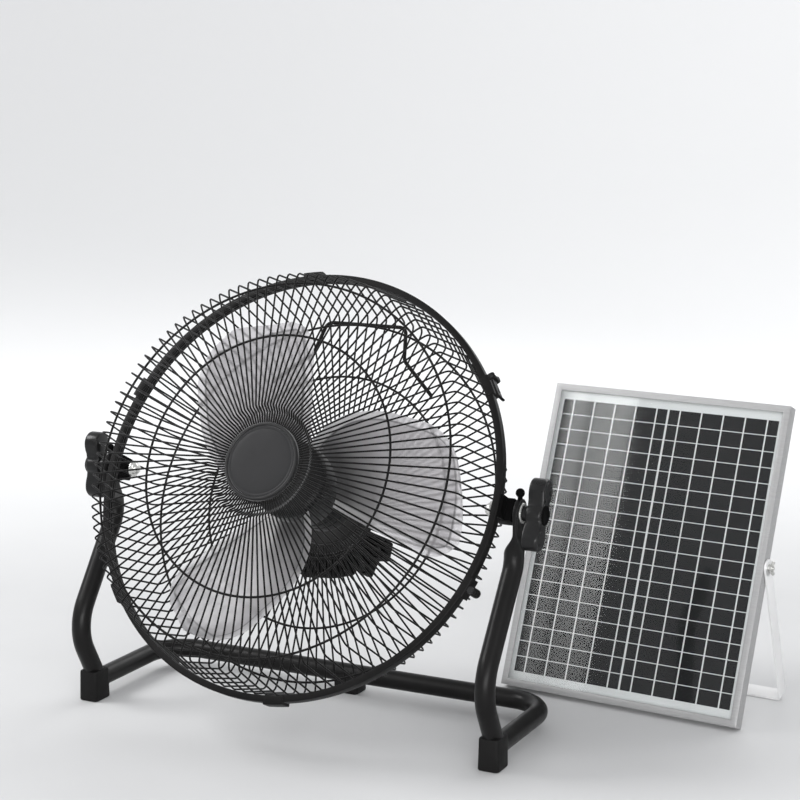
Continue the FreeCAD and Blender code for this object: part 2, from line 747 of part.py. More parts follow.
cells = [cyl_x(9.2, -28, 37, y, -109.6) for y in (-38.0, -19.0, 0.0)]
feature("battery_cells", Part.Compound(cells), HEAD)

body = new_body("control_board")
pad(body, 1.6, [[(-27, -62), (38, -62), (38, 10), (-27, 10)]], z=-121.6)
keep(body, "control_board", HEAD)

for name, place in BUTTONS.items():
    body = new_body(name)
    pad(body, 6.0, circles=[(*place, 6.0)], z=-131.9)
    pad(body, 1.4, circles=[(*place, 7.6)], z=-126.9)
    keep(body, name, HEAD)

# --- tilt pivots -----------------------------------------------------------
PIVOT_Z = -DIM["pivot_back"]
BOLT = DIM["bolt_rad"]
KNOB_IN, KNOB_BODY, KNOB_OUT = DIM["knob_in"], DIM["knob_body"], DIM["knob_out"]


def on_pivot(radius, x0, x1):
    return cyl_x(radius, x0, x1, 0, PIVOT_Z)


# block against the band, with a tab outside the band and a boss inside
block = box(268.5, 290.0, -14, 14, PIVOT_Z - 15, PIVOT_Z + 15)
block = soften(block, 2.5, runs_along("x", 5))
block = block.fuse(box(277.15, 281.0, -14, 14, PIVOT_Z + 14, 6.0)).fuse(on_pivot(5.5, 259.0, 270))
block = one_solid(block.cut(on_pivot(BOLT + 0.12, 250, 300)))
feature("pivot_blocks", both_sides(block), HEAD)

friction_washer = on_pivot(14.0, 290.04, 290.96).cut(on_pivot(4.15, 280, 300))
feature("friction_washers", both_sides(friction_washer), HEAD)
inner_washer = on_pivot(11.0, 256.3, 258.9).cut(on_pivot(4.12, 250, 300))
outer_washer = on_pivot(12.5, 297.04, 299.04).cut(on_pivot(4.12, 290, 300))
feature("pivot_washers", both_sides(inner_washer, outer_washer), HEAD)

dome = Part.makeSphere(10.5, Vector(259.3, 0, PIVOT_Z)).common(on_pivot(8.2, 248, 256.28))
feature("pivot_bolts", both_sides(one_solid(dome.fuse(on_pivot(BOLT, 255, 316)))), HEAD)


def knob(turn):
    """Two-lobed knob on the +X side, turned about the pivot by degrees."""
    reach = DIM["knob_reach"]
    shape = cyl_x(17.0, KNOB_BODY, KNOB_OUT)
    for z in (reach, -reach):
        shape = shape.fuse(cyl_x(DIM["knob_lobe"], KNOB_BODY, KNOB_OUT, 0, z))
    shape = one_solid(shape.fuse(box(KNOB_BODY, KNOB_OUT, -10.5, 10.5, -reach, reach)))
    shape = soften(shape, 3.0, lies_at("x", KNOB_OUT))
    shape = one_solid(shape.fuse(cyl_x(9.5, KNOB_IN, KNOB_BODY + 1)))
    shape = shape.cut(cyl_x(BOLT + 0.2, KNOB_IN - 1, KNOB_IN + 19))
    shape = one_solid(shape.cut(cyl_x(6.55, KNOB_IN + 4, KNOB_IN + 15)))
    shape.rotate(ORIGIN, X_AXIS, turn)
    shape.translate(Vector(0, 0, PIVOT_Z))
    return shape


insert = on_pivot(6.5, KNOB_IN + 4.03, KNOB_IN + 14.97).cut(on_pivot(BOLT + 0.04, 290, 330))
cap_out = KNOB_OUT + 2.2
cap = soften(on_pivot(12.0, KNOB_OUT + 0.04, cap_out), 0.8, lies_at("x", cap_out))
feature("knob_right", knob(-85.0), HEAD)
# the left knob's lobes stand upright at rest
feature("knob_left", mirror_x(knob(DIM["head_tilt"] - 90)), HEAD)
feature("knob_nut_right", insert, HEAD)
feature("knob_nut_left", mirror_x(insert), HEAD)
feature("knob_cap_right", cap, HEAD)
feature("knob_cap_left", mirror_x(cap), HEAD)

# --- floor stand -----------------------------------------------------------
pivot_y = DIM["pivot_back"] * math.cos(TILT)
pivot_h = DIM["ring_height"] - DIM["pivot_back"] * math.sin(TILT)
leg_x, rail_z, crossbar_y = DIM["leg_x"], DIM["rail_z"], DIM["crossbar_y"]
tube_radius = DIM["tube_rad"]
# right leg centre line, from the neck down and back to the rear corner
leg = [
    Vector(leg_x, pivot_y - 1.6, pivot_h - 51.6),
    Vector(leg_x, pivot_y - 2.3, pivot_h - 65.6),
    Vector(leg_x, -74.0, rail_z + 81.0),
    Vector(leg_x, -29.0, rail_z),
    Vector(leg_x, crossbar_y, rail_z),
]
leg_bends = [38.0, 60.0, 28.0, DIM["corner_bend"]]
other_leg = [Vector(-p.x, p.y, p.z) for p in reversed(leg)]
tube_line = filleted(leg + other_leg, leg_bends + leg_bends[::-1])
tube = pipe(tube_line, tube_radius)
bore = pipe(tube_line, tube_radius - DIM["tube_wall"])
sleeve = pipe(tube_line, tube_radius + 0.05)


def neck_section(x, y, z, half_y, half_x):
    """A level ellipse with its long axis along Y."""
    centre = Vector(x, y, z)
    edge = Part.Ellipse(centre, half_y, half_x).toShape()
    edge.rotate(centre, Z_AXIS, 90)
    return Part.Wire([edge])


# flattened tube end: a lofted neck, then a plate with a round top
PLATE_HALF = 17
plate_x, plate_thick = DIM["leg_plate_x"], DIM["plate_thick"]
tube_end = leg[0] - leg[1]
tube_end.normalize()
neck = Part.makeLoft([
    Part.Wire([Part.makeCircle(tube_radius, leg[0], tube_end)]),
    neck_section(plate_x - 0.5, pivot_y - 0.8, pivot_h - 35.6, 15.4, 6.2),
    neck_section(
        plate_x + plate_thick / 2, pivot_y, pivot_h - 23.6, float(PLATE_HALF), plate_thick / 2
    ),
], True, False).Solids[0]
low_front = Vector(plate_x, pivot_y - PLATE_HALF, pivot_h - 24.0)
low_back = Vector(plate_x, pivot_y + PLATE_HALF, pivot_h - 24.0)
high_back = Vector(plate_x, pivot_y + PLATE_HALF, pivot_h)
summit = Vector(plate_x, pivot_y, pivot_h + PLATE_HALF)
high_front = Vector(plate_x, pivot_y - PLATE_HALF, pivot_h)
paddle = Part.Face(Part.Wire([
    Part.LineSegment(low_front, low_back).toShape(),
    Part.LineSegment(low_back, high_back).toShape(),
    Part.Arc(high_back, summit, high_front).toShape(),
    Part.LineSegment(high_front, low_front).toShape(),
])).extrude(Vector(plate_thick, 0, 0))
leg_end = neck.fuse(paddle).cut(cyl_x(BOLT + 0.2, 280, 310, pivot_y, pivot_h)).Solids[0]

FOOT_SCREW_Y = -26.0
foot_screw_places = [(leg_x, FOOT_SCREW_Y), (-leg_x, FOOT_SCREW_Y), (0.0, crossbar_y)]
stand = tube.cut(bore).fuse([leg_end, mirror_x(leg_end)])
for x, y in foot_screw_places:
    stand = stand.cut(cyl_z(2.15, 14, x, y, 8))
feature("stand_tube", one_solid(stand), STAND)

# round nub on a short stem above each flattened end
nub_x = plate_x + 3.0
nub = Part.makeSphere(5.6, Vector(nub_x, pivot_y, pivot_h + 24.5))
nub = nub.fuse(cyl_z(3.0, 8, nub_x, pivot_y, pivot_h + 16.1))
nub = one_solid(nub.cut(cyl_x(17.06, 280, 310, pivot_y, pivot_h)))
feature("leg_end_caps", both_sides(nub), STAND)


def largest(shape):
    return max(shape.Solids, key=lambda solid: solid.Volume)


def fitted(foot, x, y):
    """Cuts the tube's room and a counterbored screw hole into a foot."""
    foot = largest(foot.cut(sleeve))
    return largest(foot.cut(cyl_z(2.15, 60, x, y, -1)).cut(cyl_z(4.8, 6, x, y, -1)))


foot = box(leg_x - 14, leg_x + 14, -53.0, -19.5, 0, DIM["foot_height"])
foot = soften(foot, 4.5, runs_along("z", 20))
foot = soften(foot, 1.5, lies_at("z", 0))
feature("front_feet", both_sides(fitted(foot, leg_x, FOOT_SCREW_Y)), STAND)
foot = box(-17.5, 17.5, crossbar_y - 15, crossbar_y + 15, 0, rail_z)
foot = soften(foot, 4.0, runs_along("z", 20))
feature("rear_foot", fitted(foot, 0, crossbar_y), STAND)
foot_screws = screws(foot_screw_places, head=(4.4, 2.6, 2.35), shank=(2.0, 13.5, 4.9))
feature("foot_screws", Part.Compound(foot_screws), STAND)

# --- solar panel -----------------------------------------------------------
WIDE, HIGH, DEEP = DIM["panel_wide"], DIM["panel_high"], DIM["panel_deep"]
WALL, LIP = DIM["frame_wall"], DIM["frame_lip"]
STAY_Y, STAY_Z = DIM["stay_pivot"], -DIM["stay_depth"]
# frame section: (distance in from the outer edge, z)
RAIL_SECTION = [
    (0, 0), (LIP, 0), (LIP, -1.4), (WALL, -1.4), (WALL, -5.1), (LIP, -5.1), (LIP, -6.5),
    (WALL, -6.5), (WALL, -DEEP + 1.5), (14, -DEEP + 1.5), (14, -DEEP), (0, -DEEP),
]


def rail(length, turn, x, y):
    """A frame side with mitred ends, turned about Z and moved to x, y."""
    points = [Vector(inward, 0, z) for inward, z in RAIL_SECTION + RAIL_SECTION[:1]]
    bar = Part.Face(Part.makePolygon(points)).extrude(Vector(0, length, 0))
    mitre = [(-1, -1), (40, 40), (40, length - 40), (-1, length + 1), (-1, -1)]
    room = Part.Face(Part.makePolygon([Vector(a, b, -30) for a, b in mitre]))
    bar = bar.common(room.extrude(Vector(0, 0, 60))).Solids[0]
    bar.rotate(ORIGIN, Z_AXIS, turn)
    bar.translate(Vector(x, y, 0))
    return bar


def on_stay(radius, x0, x1):
    return cyl_x(radius, x0, x1, STAY_Y, STAY_Z)


stay_hole = on_stay(2.6, -5, WIDE + 5)
feature("panel_frame", Part.Compound([
    rail(HIGH, 0, 0, 0).cut(stay_hole),
    rail(HIGH, 180, WIDE, HIGH).cut(stay_hole),
    rail(WIDE, 90, WIDE, 0),
    rail(WIDE, -90, 0, HIGH),
]), PANEL)

edge_in = linked("frame_wall") + 0.3
edge_right, edge_top = linked("panel_wide") - edge_in, linked("panel_high") - edge_in
sheet_outline = [
    (edge_in, edge_in), (edge_right, edge_in), (edge_right, edge_top), (edge_in, edge_top),
]
for name, thick, z in (("panel_glass", 2.95, -4.4), ("panel_backsheet", 0.3, -5.07)):
    body = new_body(name)
    pad(body, thick, [sheet_outline], z=z)
    keep(body, name, PANEL)

# cells in two columns, with ribbons over each column
CELL_ROWS, RIBBONS = 18, 5
cell_wide, cell_high = DIM["cell_wide"], DIM["cell_high"]
cell_pitch, cell_gap = DIM["cell_pitch"], DIM["cell_gap"]
first_x = (WIDE - 2 * cell_wide - cell_gap) / 2
first_y = (HIGH - CELL_ROWS * cell_pitch) / 2 + (cell_pitch - cell_high) / 2
last_y = first_y + (CELL_ROWS - 1) * cell_pitch + cell_high
cells, ribbons = [], []
for left in (first_x, first_x + cell_wide + cell_gap):
    for k in range(CELL_ROWS):
        y = first_y + k * cell_pitch
        cells.append(box(left, left + cell_wide, y, y + cell_high, -4.74, -4.54))
    for k in range(RIBBONS):
        x = left + cell_wide * (k + 0.5) / RIBBONS
        ribbons.append(box(x - 1.0, x + 1.0, first_y - 3, last_y + 3, -4.51, -4.43))
feature("solar_cells", Part.Compound(cells), PANEL)
feature("cell_ribbons", Part.Compound(ribbons), PANEL)

# junction box on the back, the lead leaves through a gland in its lower side
LEAD_X, LEAD_Z = 203, -12.5
junction = soften(box(131, 211, 342, 402, -21, -5.09), 3.0, runs_along("z", 10))
junction = junction.fuse(Part.makeCylinder(6.5, 12, Vector(LEAD_X, 330.5, LEAD_Z), Y_AXIS))
junction = junction.cut(Part.makeCylinder(2.62, 14, Vector(LEAD_X, 330, LEAD_Z), Y_AXIS))
feature("junction_box", one_solid(junction), PANEL)

# lead: straight down, a coil that steps back from the panel, then down again
COIL_TURNS, COIL_RADIUS, COIL_Y = 3, 36.0, 240
COIL_PITCH, TURN_STEPS = 6.2, 24
lead_points = [Vector(LEAD_X, 343.5 - 8 * k, LEAD_Z) for k in range(13)]
for k in range(1, TURN_STEPS * COIL_TURNS + 1):
    angle = -2 * math.pi * k / TURN_STEPS
    lead_points.append(Vector(
        LEAD_X - COIL_RADIUS + COIL_RADIUS * math.cos(angle),
        COIL_Y + COIL_RADIUS * math.sin(angle),
        LEAD_Z - COIL_PITCH * k / TURN_STEPS,
    ))
for k in range(1, 9):
    lead_points.append(Vector(LEAD_X, COIL_Y - 9 * k, LEAD_Z - COIL_PITCH * COIL_TURNS))
curve = Part.BSplineCurve()
curve.interpolate(lead_points)
sweep = Part.BRepOffsetAPI.MakePipeShell(Part.Wire([curve.toShape()]))
sweep.setBiNormalMode(Z_AXIS)
sweep.add(Part.Wire([Part.makeCircle(2.5, lead_points[0], Vector(0, -1, 0))]))
sweep.build()
sweep.makeSolid()
feature("panel_lead", sweep.shape().Solids[0], PANEL)

lead_end = lead_points[-1]


def below_lead(radius, length, above):
    """A cylinder toward -Y that starts a distance above the lead's end."""
    return Part.makeCylinder(radius, length, lead_end + Vector(0, above, 0), Vector(0, -1, 0))


plug = below_lead(5.6, 30, 4).fuse(below_lead(2.7, 10, -26))
plug = one_solid(plug.cut(below_lead(2.52, 8, 8)).cut(below_lead(1.1, 9, -27.2)))
plug = soften(
    plug,
    1.0,
    lambda edge: edge.Length > 30 and abs(edge.Vertexes[0].Point.y - lead_end.y - 4) < 1e-3,
)
feature("lead_plug", plug, PANEL)

# prop: one flat strip bent into a U, pivoted on the side rails
strip, strip_thick = DIM["stay_wide"], DIM["stay_thick"]
SIDE_GAP = 0.5
stay_foot = STAY_Y - DIM["stay_reach"]
stay = box(
    -SIDE_GAP - strip_thick, WIDE + SIDE_GAP + strip_thick,
    stay_foot, STAY_Y + 11,
    STAY_Z - strip / 2, STAY_Z + strip / 2,
)
stay = stay.cut(box(
    -SIDE_GAP, WIDE + SIDE_GAP,
    stay_foot + strip_thick, STAY_Y + 30,
    STAY_Z - strip, STAY_Z + strip,
))


def stay_corner(edge):
    across = abs(edge.Length - strip) < 1e-3
    return across and abs(edge.Vertexes[0].Point.y - stay_foot) < 1e-3


stay = soften(stay, 3.0, stay_corner).cut(stay_hole)
stay_axis = Vector(0, STAY_Y, STAY_Z)
stay.rotate(stay_axis, X_AXIS, DIM["stay_open"])
feature("kickstand", stay, PANEL)

pin = one_solid(on_stay(2.5, -10.5, 4.0).fuse(on_stay(4.6, WALL + 0.05, WALL + 3.6)))
spacer = on_stay(5.0, -0.45, -0.05).cut(on_stay(2.55, -20, 20))
feature("kickstand_bolts", both_sides(pin, spacer, middle=WIDE / 2), PANEL)

WING_THICK = 3.2
wing = on_stay(5.2, -9.0, -3.1).fuse(box(
    -11.0, -6.0,
    STAY_Y - 9.5, STAY_Y + 9.5,
    STAY_Z - WING_THICK / 2, STAY_Z + WING_THICK / 2,
))
wing = one_solid(wing.cut(on_stay(2.56, -20, 0)))
wing = soften(wing, 1.4, lambda edge: abs(edge.Length - WING_THICK) < 1e-3)
wing.rotate(stay_axis, X_AXIS, 25)
feature("wing_nut_left", wing, PANEL)
feature("wing_nut_right", mirror_x(wing, WIDE / 2), PANEL)

# --- checks and export -----------------------------------------------------
doc.recompute()
bad = [obj.Name for obj in doc.Objects if "Invalid" in obj.State or "Error" in obj.State]
if bad:
    raise RuntimeError("objects in error: %s" % bad)
for name, obj in PARTS:
    shape = obj.Shape
    if shape.isNull() or not shape.Solids or not shape.isValid():
        raise RuntimeError("bad part %s" % name)
    if min(solid.Volume for solid in shape.Solids) <= 0:
        raise RuntimeError("inside-out solid in %s" % name)
os.makedirs("parts", exist_ok=True)
for name, obj in PARTS:
    obj.Shape.exportStep("parts/%s.step" % name)
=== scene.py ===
"""A caged fan on a bent-tube stand, with a small solar panel leaning beside it.

Shapes are in millimetres, each in its group's own frame:
  stand  x across, y to the rear, z up from the floor
  head   origin at the middle of the guard, z along the rotor axis to the front, y up
  panel  origin at the lower left corner, x across, y up the face, z out of the face
The world is in metres, with the front toward -Y.
"""

import bpy
import bmesh
from math import acos, asin, ceil, copysign, cos, hypot, pi, radians, sin, sqrt, tan
from mathutils import Matrix, Vector

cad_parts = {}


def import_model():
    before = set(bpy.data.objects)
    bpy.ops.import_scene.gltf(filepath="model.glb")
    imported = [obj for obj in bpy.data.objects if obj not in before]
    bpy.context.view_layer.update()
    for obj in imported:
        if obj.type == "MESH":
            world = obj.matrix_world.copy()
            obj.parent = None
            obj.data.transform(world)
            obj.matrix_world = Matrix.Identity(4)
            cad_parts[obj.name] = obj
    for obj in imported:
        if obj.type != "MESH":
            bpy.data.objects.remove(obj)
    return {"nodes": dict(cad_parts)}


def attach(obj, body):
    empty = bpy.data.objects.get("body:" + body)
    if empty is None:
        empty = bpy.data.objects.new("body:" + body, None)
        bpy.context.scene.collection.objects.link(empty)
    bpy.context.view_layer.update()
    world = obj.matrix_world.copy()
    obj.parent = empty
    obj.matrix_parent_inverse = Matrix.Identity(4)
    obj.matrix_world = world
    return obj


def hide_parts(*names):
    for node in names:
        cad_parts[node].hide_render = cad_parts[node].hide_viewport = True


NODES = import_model()["nodes"]
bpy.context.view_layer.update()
MM = 0.001


# ---------------------------------------------------------------- placement
def move(x, y, z):
    return Matrix.Translation((x, y, z))


def spin(degrees):
    return Matrix.Rotation(radians(degrees), 4, "Z")


def turn_x(degrees):
    return Matrix.Rotation(radians(degrees), 4, "X")


IDENTITY = Matrix()
FLIP_X = Matrix.Scale(-1, 4, Vector((1, 0, 0)))
Z_TO_X = Matrix(((0, 0, 1, 0), (1, 0, 0, 0), (0, 1, 0, 0), (0, 0, 0, 1)))  # x to y, y to z

STAND_X, STAND_Y = -101.485, -118.142
HEAD_HEIGHT = 314.2
TILT = 26.7  # the rotor axis above the horizontal, degrees
PANEL_WIDTH, PANEL_LENGTH, PANEL_DEPTH = 337.2, 419.0, 20.0
PANEL_LEAN, PANEL_YAW = 21.24, -5.15

STAND = move(STAND_X, STAND_Y, 0)
HEAD = STAND @ move(0, 0, HEAD_HEIGHT) @ turn_x(90 - TILT)
PANEL = (
    STAND
    @ move(176.4, 247.5, PANEL_DEPTH * sin(radians(PANEL_LEAN)))
    @ spin(PANEL_YAW)
    @ turn_x(90 - PANEL_LEAN)
)
# Bodies that aren't listed belong to the head.
BODY_FRAMES = dict(stand=STAND, panel=PANEL, prop=PANEL, wing_left=PANEL, wing_right=PANEL)
head_pieces = []


# ---------------------------------------------------------------- objects
def add_object(name, data):
    obj = bpy.data.objects.new(name, data)
    bpy.context.scene.collection.objects.link(obj)
    return obj


def add_attributes(mesh, attributes):
    for name, values in attributes.items():
        mesh.attributes.new(name, "FLOAT", "POINT").data.foreach_set("value", values)


def finish_mesh(mesh, material, sharp):
    """Gives the material and smooth shading, with edges over the sharp angle kept hard."""
    mesh.materials.append(material)
    mesh.polygons.foreach_set("use_smooth", [True] * len(mesh.polygons))
    mesh.set_sharp_from_angle(angle=radians(sharp))


class Shape:
    """Points and faces in millimetres, in a group's own frame."""

    def __init__(self):
        self.points, self.faces = [], []

    def add(self, points, faces=()):
        """Adds points and faces, and returns the index of the first new point."""
        start = len(self.points)
        self.points.extend(Vector(p) for p in points)
        self.faces.extend(tuple(i + start for i in face) for face in faces)
        return start

    def merge(self, other, matrix=IDENTITY):
        faces = other.faces
        if matrix.determinant() < 0:
            faces = [face[::-1] for face in faces]
        self.add([matrix @ p for p in other.points], faces)
        return self

    def moved(self, matrix):
        return Shape().merge(self, matrix)

    def paired(self, mirror=FLIP_X):
        return self.moved(IDENTITY).merge(self, mirror)

    def join(self, here, there, count):
        """A band of quads between two rings, given by their first points."""
        for i in range(count):
            j = (i + 1) % count
            self.faces.append((here + i, here + j, there + j, there + i))

    def loft(self, rings, closed=False):
        """A skin through rings of points, capped at both ends unless it closes on itself."""
        starts = [self.add(ring) for ring in rings]
        count = len(rings[0])
        for here, there in zip(starts, starts[1:] + starts[: int(closed)]):
            self.join(here, there, count)
        if not closed:
            self.faces.append(tuple(starts[0] + i for i in reversed(range(count))))
            self.faces.append(tuple(starts[-1] + i for i in range(count)))
        return self

    def build(self, name, body, material, replaces, slot, sharp=35, **attributes):
        """Makes the object, tied to its body and to the CAD piece it stands in for."""
        place = BODY_FRAMES.get(body, HEAD)
        mesh = bpy.data.meshes.new(name)
        mesh.from_pydata([tuple(place @ p * MM) for p in self.points], [], self.faces)
        bm = bmesh.new()
        bm.from_mesh(mesh)
        bmesh.ops.recalc_face_normals(bm, faces=bm.faces[:])
        bm.to_mesh(mesh)
        bm.free()
        finish_mesh(mesh, material, sharp)
        add_attributes(mesh, attributes)
        mesh.update()
        obj = add_object(name, mesh)
        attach(obj, body)
        if replaces:
            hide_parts(replaces)
        if place is HEAD:
            head_pieces.append(obj)


# ---------------------------------------------------------------- outlines and paths
def angle_between(a, b):
    return acos(max(-1, min(1, a.dot(b))))


def tangents(path, closed=False):
    count = len(path)
    out = []
    for i in range(count):
        before = path[i - 1 if closed else max(i - 1, 0)]
        after = path[(i + 1) % count if closed else min(i + 1, count - 1)]
        out.append((after - before).normalized())
    return out


def frames(path, closed):
    """Tangent and two side vectors at each point, carried along without twist."""
    along = tangents(path, closed)
    up = Vector((0, 0, 1)) if abs(along[0].z) < 0.9 else Vector((1, 0, 0))
    side = along[0].cross(up).normalized()
    out = []
    for tangent in along:
        side = (side - tangent * side.dot(tangent)).normalized()
        out.append((tangent, side, tangent.cross(side).normalized()))
    return out


def fillet(points, radii, step):
    """Straight lines joined by tangent arcs, with a point every step degrees or less."""
    points = [Vector(p) for p in points]
    out = [points[0]]
    for before, corner, after, radius in zip(points, points[1:], points[2:], radii):
        a, b = (before - corner).normalized(), (after - corner).normalized()
        angle = angle_between(a, b)
        reach = radius / tan(angle / 2)
        centre = corner + (a + b).normalized() * (radius / sin(angle / 2))
        sweep = pi - angle
        steps = max(2, int(ceil(sweep / radians(step))))
        first = (corner + a * reach - centre).normalized()
        last = (corner + b * reach - centre).normalized()
        for k in range(steps + 1):
            x = k / steps
            ray = (first * sin((1 - x) * sweep) + last * sin(x * sweep)) / sin(sweep)
            out.append(centre + ray * radius)
    out.append(points[-1])
    return out


def soften(points, rounding, steps=3):
    """Rounds a closed outline's corners. rounding is one radius, or a list with one each."""
    count = len(points)
    radii = rounding if isinstance(rounding, list) else [rounding] * count
    out = []
    for i, radius in enumerate(radii):
        corner = Vector(points[i])
        a, b = Vector(points[i - 1]) - corner, Vector(points[(i + 1) % count]) - corner
        limit = 0.45 * min(a.length, b.length)
        a.normalize()
        b.normalize()
        angle = angle_between(a, b)
        if radius == 0 or angle > radians(170):
            out.append(corner)
            continue
        reach = min(radius / tan(angle / 2), limit)
        start, end = corner + a * reach, corner + b * reach
        for k in range(steps + 1):
            x = k / steps
            out.append(start * (1 - x) ** 2 + corner * 2 * x * (1 - x) + end * x * x)
    return [(p.x, p.y) for p in out]


def counterclockwise(outline):
    outline = list(outline)
    area = sum(p[0] * q[1] - q[0] * p[1] for p, q in zip(outline, outline[1:] + outline[:1]))
    return outline if area > 0 else outline[::-1]


def soft_outline(points, radius, steps=5):
    return soften(counterclockwise(points), radius, steps)


def rounded_rect(x0, x1, y0, y1, radius, steps=5):
    corners = (x1, y1, -1, -1, 0), (x0, y1, 1, -1, 90), (x0, y0, 1, 1, 180), (x1, y0, -1, 1, 270)
    out = []
    for x, y, x_in, y_in, start in corners:
        for k in range(steps + 1):
            angle = radians(start + 90.0 * k / steps)
            centre_x, centre_y = x + x_in * radius, y + y_in * radius
            out.append((centre_x + radius * cos(angle), centre_y + radius * sin(angle)))
    return out


def inset(outline, distance):
    """Moves every side of a counterclockwise outline inward."""
    out, count = [], len(outline)
    for i in range(count):
        (x0, y0), (x1, y1), (x2, y2) = outline[i - 1], outline[i], outline[(i + 1) % count]
        a, b = hypot(x1 - x0, y1 - y0), hypot(x2 - x1, y2 - y1)
        ax, ay = -(y1 - y0) / a, (x1 - x0) / a
        bx, by = -(y2 - y1) / b, (x2 - x1) / b
        k = 1 + ax * bx + ay * by
        out.append((x1 + distance * (ax + bx) / k, y1 + distance * (ay + by) / k))
    return out


# ---------------------------------------------------------------- solids
def shape_from(bm):
    shape = Shape()
    bm.verts.index_update()
    shape.add([v.co.copy() for v in bm.verts], [[v.index for v in f.verts] for f in bm.faces])
    bm.free()
    return shape


def bevel_edges(bm, edges, offset, segments):
    bmesh.ops.bevel(
        bm, geom=edges, offset=offset, segments=segments, profile=0.5, affect="EDGES",
        clamp_overlap=True,
    )


def tube(path, radius, sides, closed=False, dome=0.0):
    """Round bar along a path. Open ends are flat, or bulge out when dome is over 0."""
    path = [Vector(p) for p in path]
    rows = [(p, frame, radius) for p, frame in zip(path, frames(path, closed))]
    if dome:
        def end(row, outward, angles):
            p, frame, _ = row
            return [
                (p + frame[0] * outward * dome * sin(radians(a)), frame, radius * cos(radians(a)))
                for a in angles
            ]

        rows = end(rows[0], -1, (70, 40)) + rows + end(rows[-1], 1, (40, 70))
    angles = [2 * pi * k / sides for k in range(sides)]
    rings = [[p + (u * cos(a) + v * sin(a)) * r for a in angles] for p, (_, u, v), r in rows]
    return Shape().loft(rings, closed)


def lathe(profile, sides, rounding=0, axis="Z", at=(0, 0), span=None):
    """Turns a closed profile of (radius, height) round the axis.

    span makes a part turn in degrees, with its ends closed.
    """
    if rounding:
        profile = soften(profile, rounding)
    start, end = span or (0.0, 360.0)
    shape, rows, count = Shape(), [], len(profile)
    for k in range(sides + 1 if span else sides):
        angle = radians(start + (end - start) * k / sides)
        row = [(at[0] + r * cos(angle), at[1] + r * sin(angle), z) for r, z in profile]
        rows.append(shape.add(row if axis == "Z" else [(z, x, y) for x, y, z in row]))
    for here, there in zip(rows, rows[1:] + ([] if span else rows[:1])):
        for i in range(count):
            j = (i + 1) % count
            if max(profile[i][0], profile[j][0]) >= 1e-6:
                shape.faces.append((here + i, there + i, there + j, here + j))
    if span:
        shape.faces.append(tuple(rows[0] + i for i in range(count)))
        shape.faces.append(tuple(rows[-1] + i for i in reversed(range(count))))
    # Points that fall together on the axis are welded.
    bm = bmesh.new()
    verts = [bm.verts.new(p) for p in shape.points]
    for face in shape.faces:
        bm.faces.new([verts[i] for i in face])
    bmesh.ops.remove_doubles(bm, verts=bm.verts[:], dist=1e-4)
    bmesh.ops.dissolve_degenerate(bm, edges=bm.edges[:], dist=1e-5)
    return shape_from(bm)


def prism(outline, z0, z1, bevel, segments=2, top=True):
    """An outline pulled from z0 up to z1, with a rounded lower rim, and upper one if top."""
    outline = counterclockwise(outline)
    bm = bmesh.new()
    low = [bm.verts.new((x, y, z0)) for x, y in outline]
    high = [bm.verts.new((x, y, z1)) for x, y in outline]
    count = len(outline)
    for i in range(count):
        j = (i + 1) % count
        bm.faces.new((low[i], low[j], high[j], high[i]))
    bm.faces.new(high)
    bm.faces.new(low[::-1])
    middle = (z0 + z1) / 2
    rims = []
    for edge in bm.edges:
        za, zb = (v.co.z for v in edge.verts)
        if abs(za - zb) < 1e-6 and (top or za < middle):
            rims.append(edge)
    bevel_edges(bm, rims, bevel, segments)
    return shape_from(bm)


def box(x0, x1, y0, y1, z0, z1, bevel=0.0):
    bm = bmesh.new()
    v = [bm.verts.new((x, y, z)) for x in (x0, x1) for y in (y0, y1) for z in (z0, z1)]
    sides = (0, 1, 3, 2), (4, 6, 7, 5), (0, 4, 5, 1), (2, 3, 7, 6), (0, 2, 6, 4), (1, 5, 7, 3)
    for side in sides:
        bm.faces.new([v[i] for i in side])
    if bevel:
        bevel_edges(bm, bm.edges[:], bevel, 1)
    return shape_from(bm)


def radial_rib(r0, r1, half_width, z0, z1):
    corners = [(r0, -half_width), (r1, -half_width), (r1, half_width), (r0, half_width)]
    return prism(corners, z0, z1, bevel=0.2)


def tray(outer, side_wall, z_open, z_shut, floor, rounding):
    """A tray with its floor at z_shut, open at z_open. rounding softens the floor's rim."""
    shape = Shape()
    count = len(outer)
    inward = 1 if z_open > z_shut else -1
    rows = [
        (outer, z_open),
        (outer, z_shut + inward * rounding),
        (inset(outer, rounding * 0.35), z_shut + inward * rounding * 0.3),
        (inset(outer, rounding), z_shut),
    ]
    inner = inset(outer, side_wall)
    skins = []
    for skin in (rows, [(inner, z_open), (inner, z_shut + inward * floor)]):
        starts = [shape.add([(x, y, z) for x, y in outline]) for outline, z in skin]
        for here, there in zip(starts, starts[1:]):
            shape.join(here, there, count)
        shape.faces.append(tuple(starts[-1] + i for i in range(count)))
        skins.append(starts)
    shape.join(skins[0][0], skins[1][0], count)
    return shape


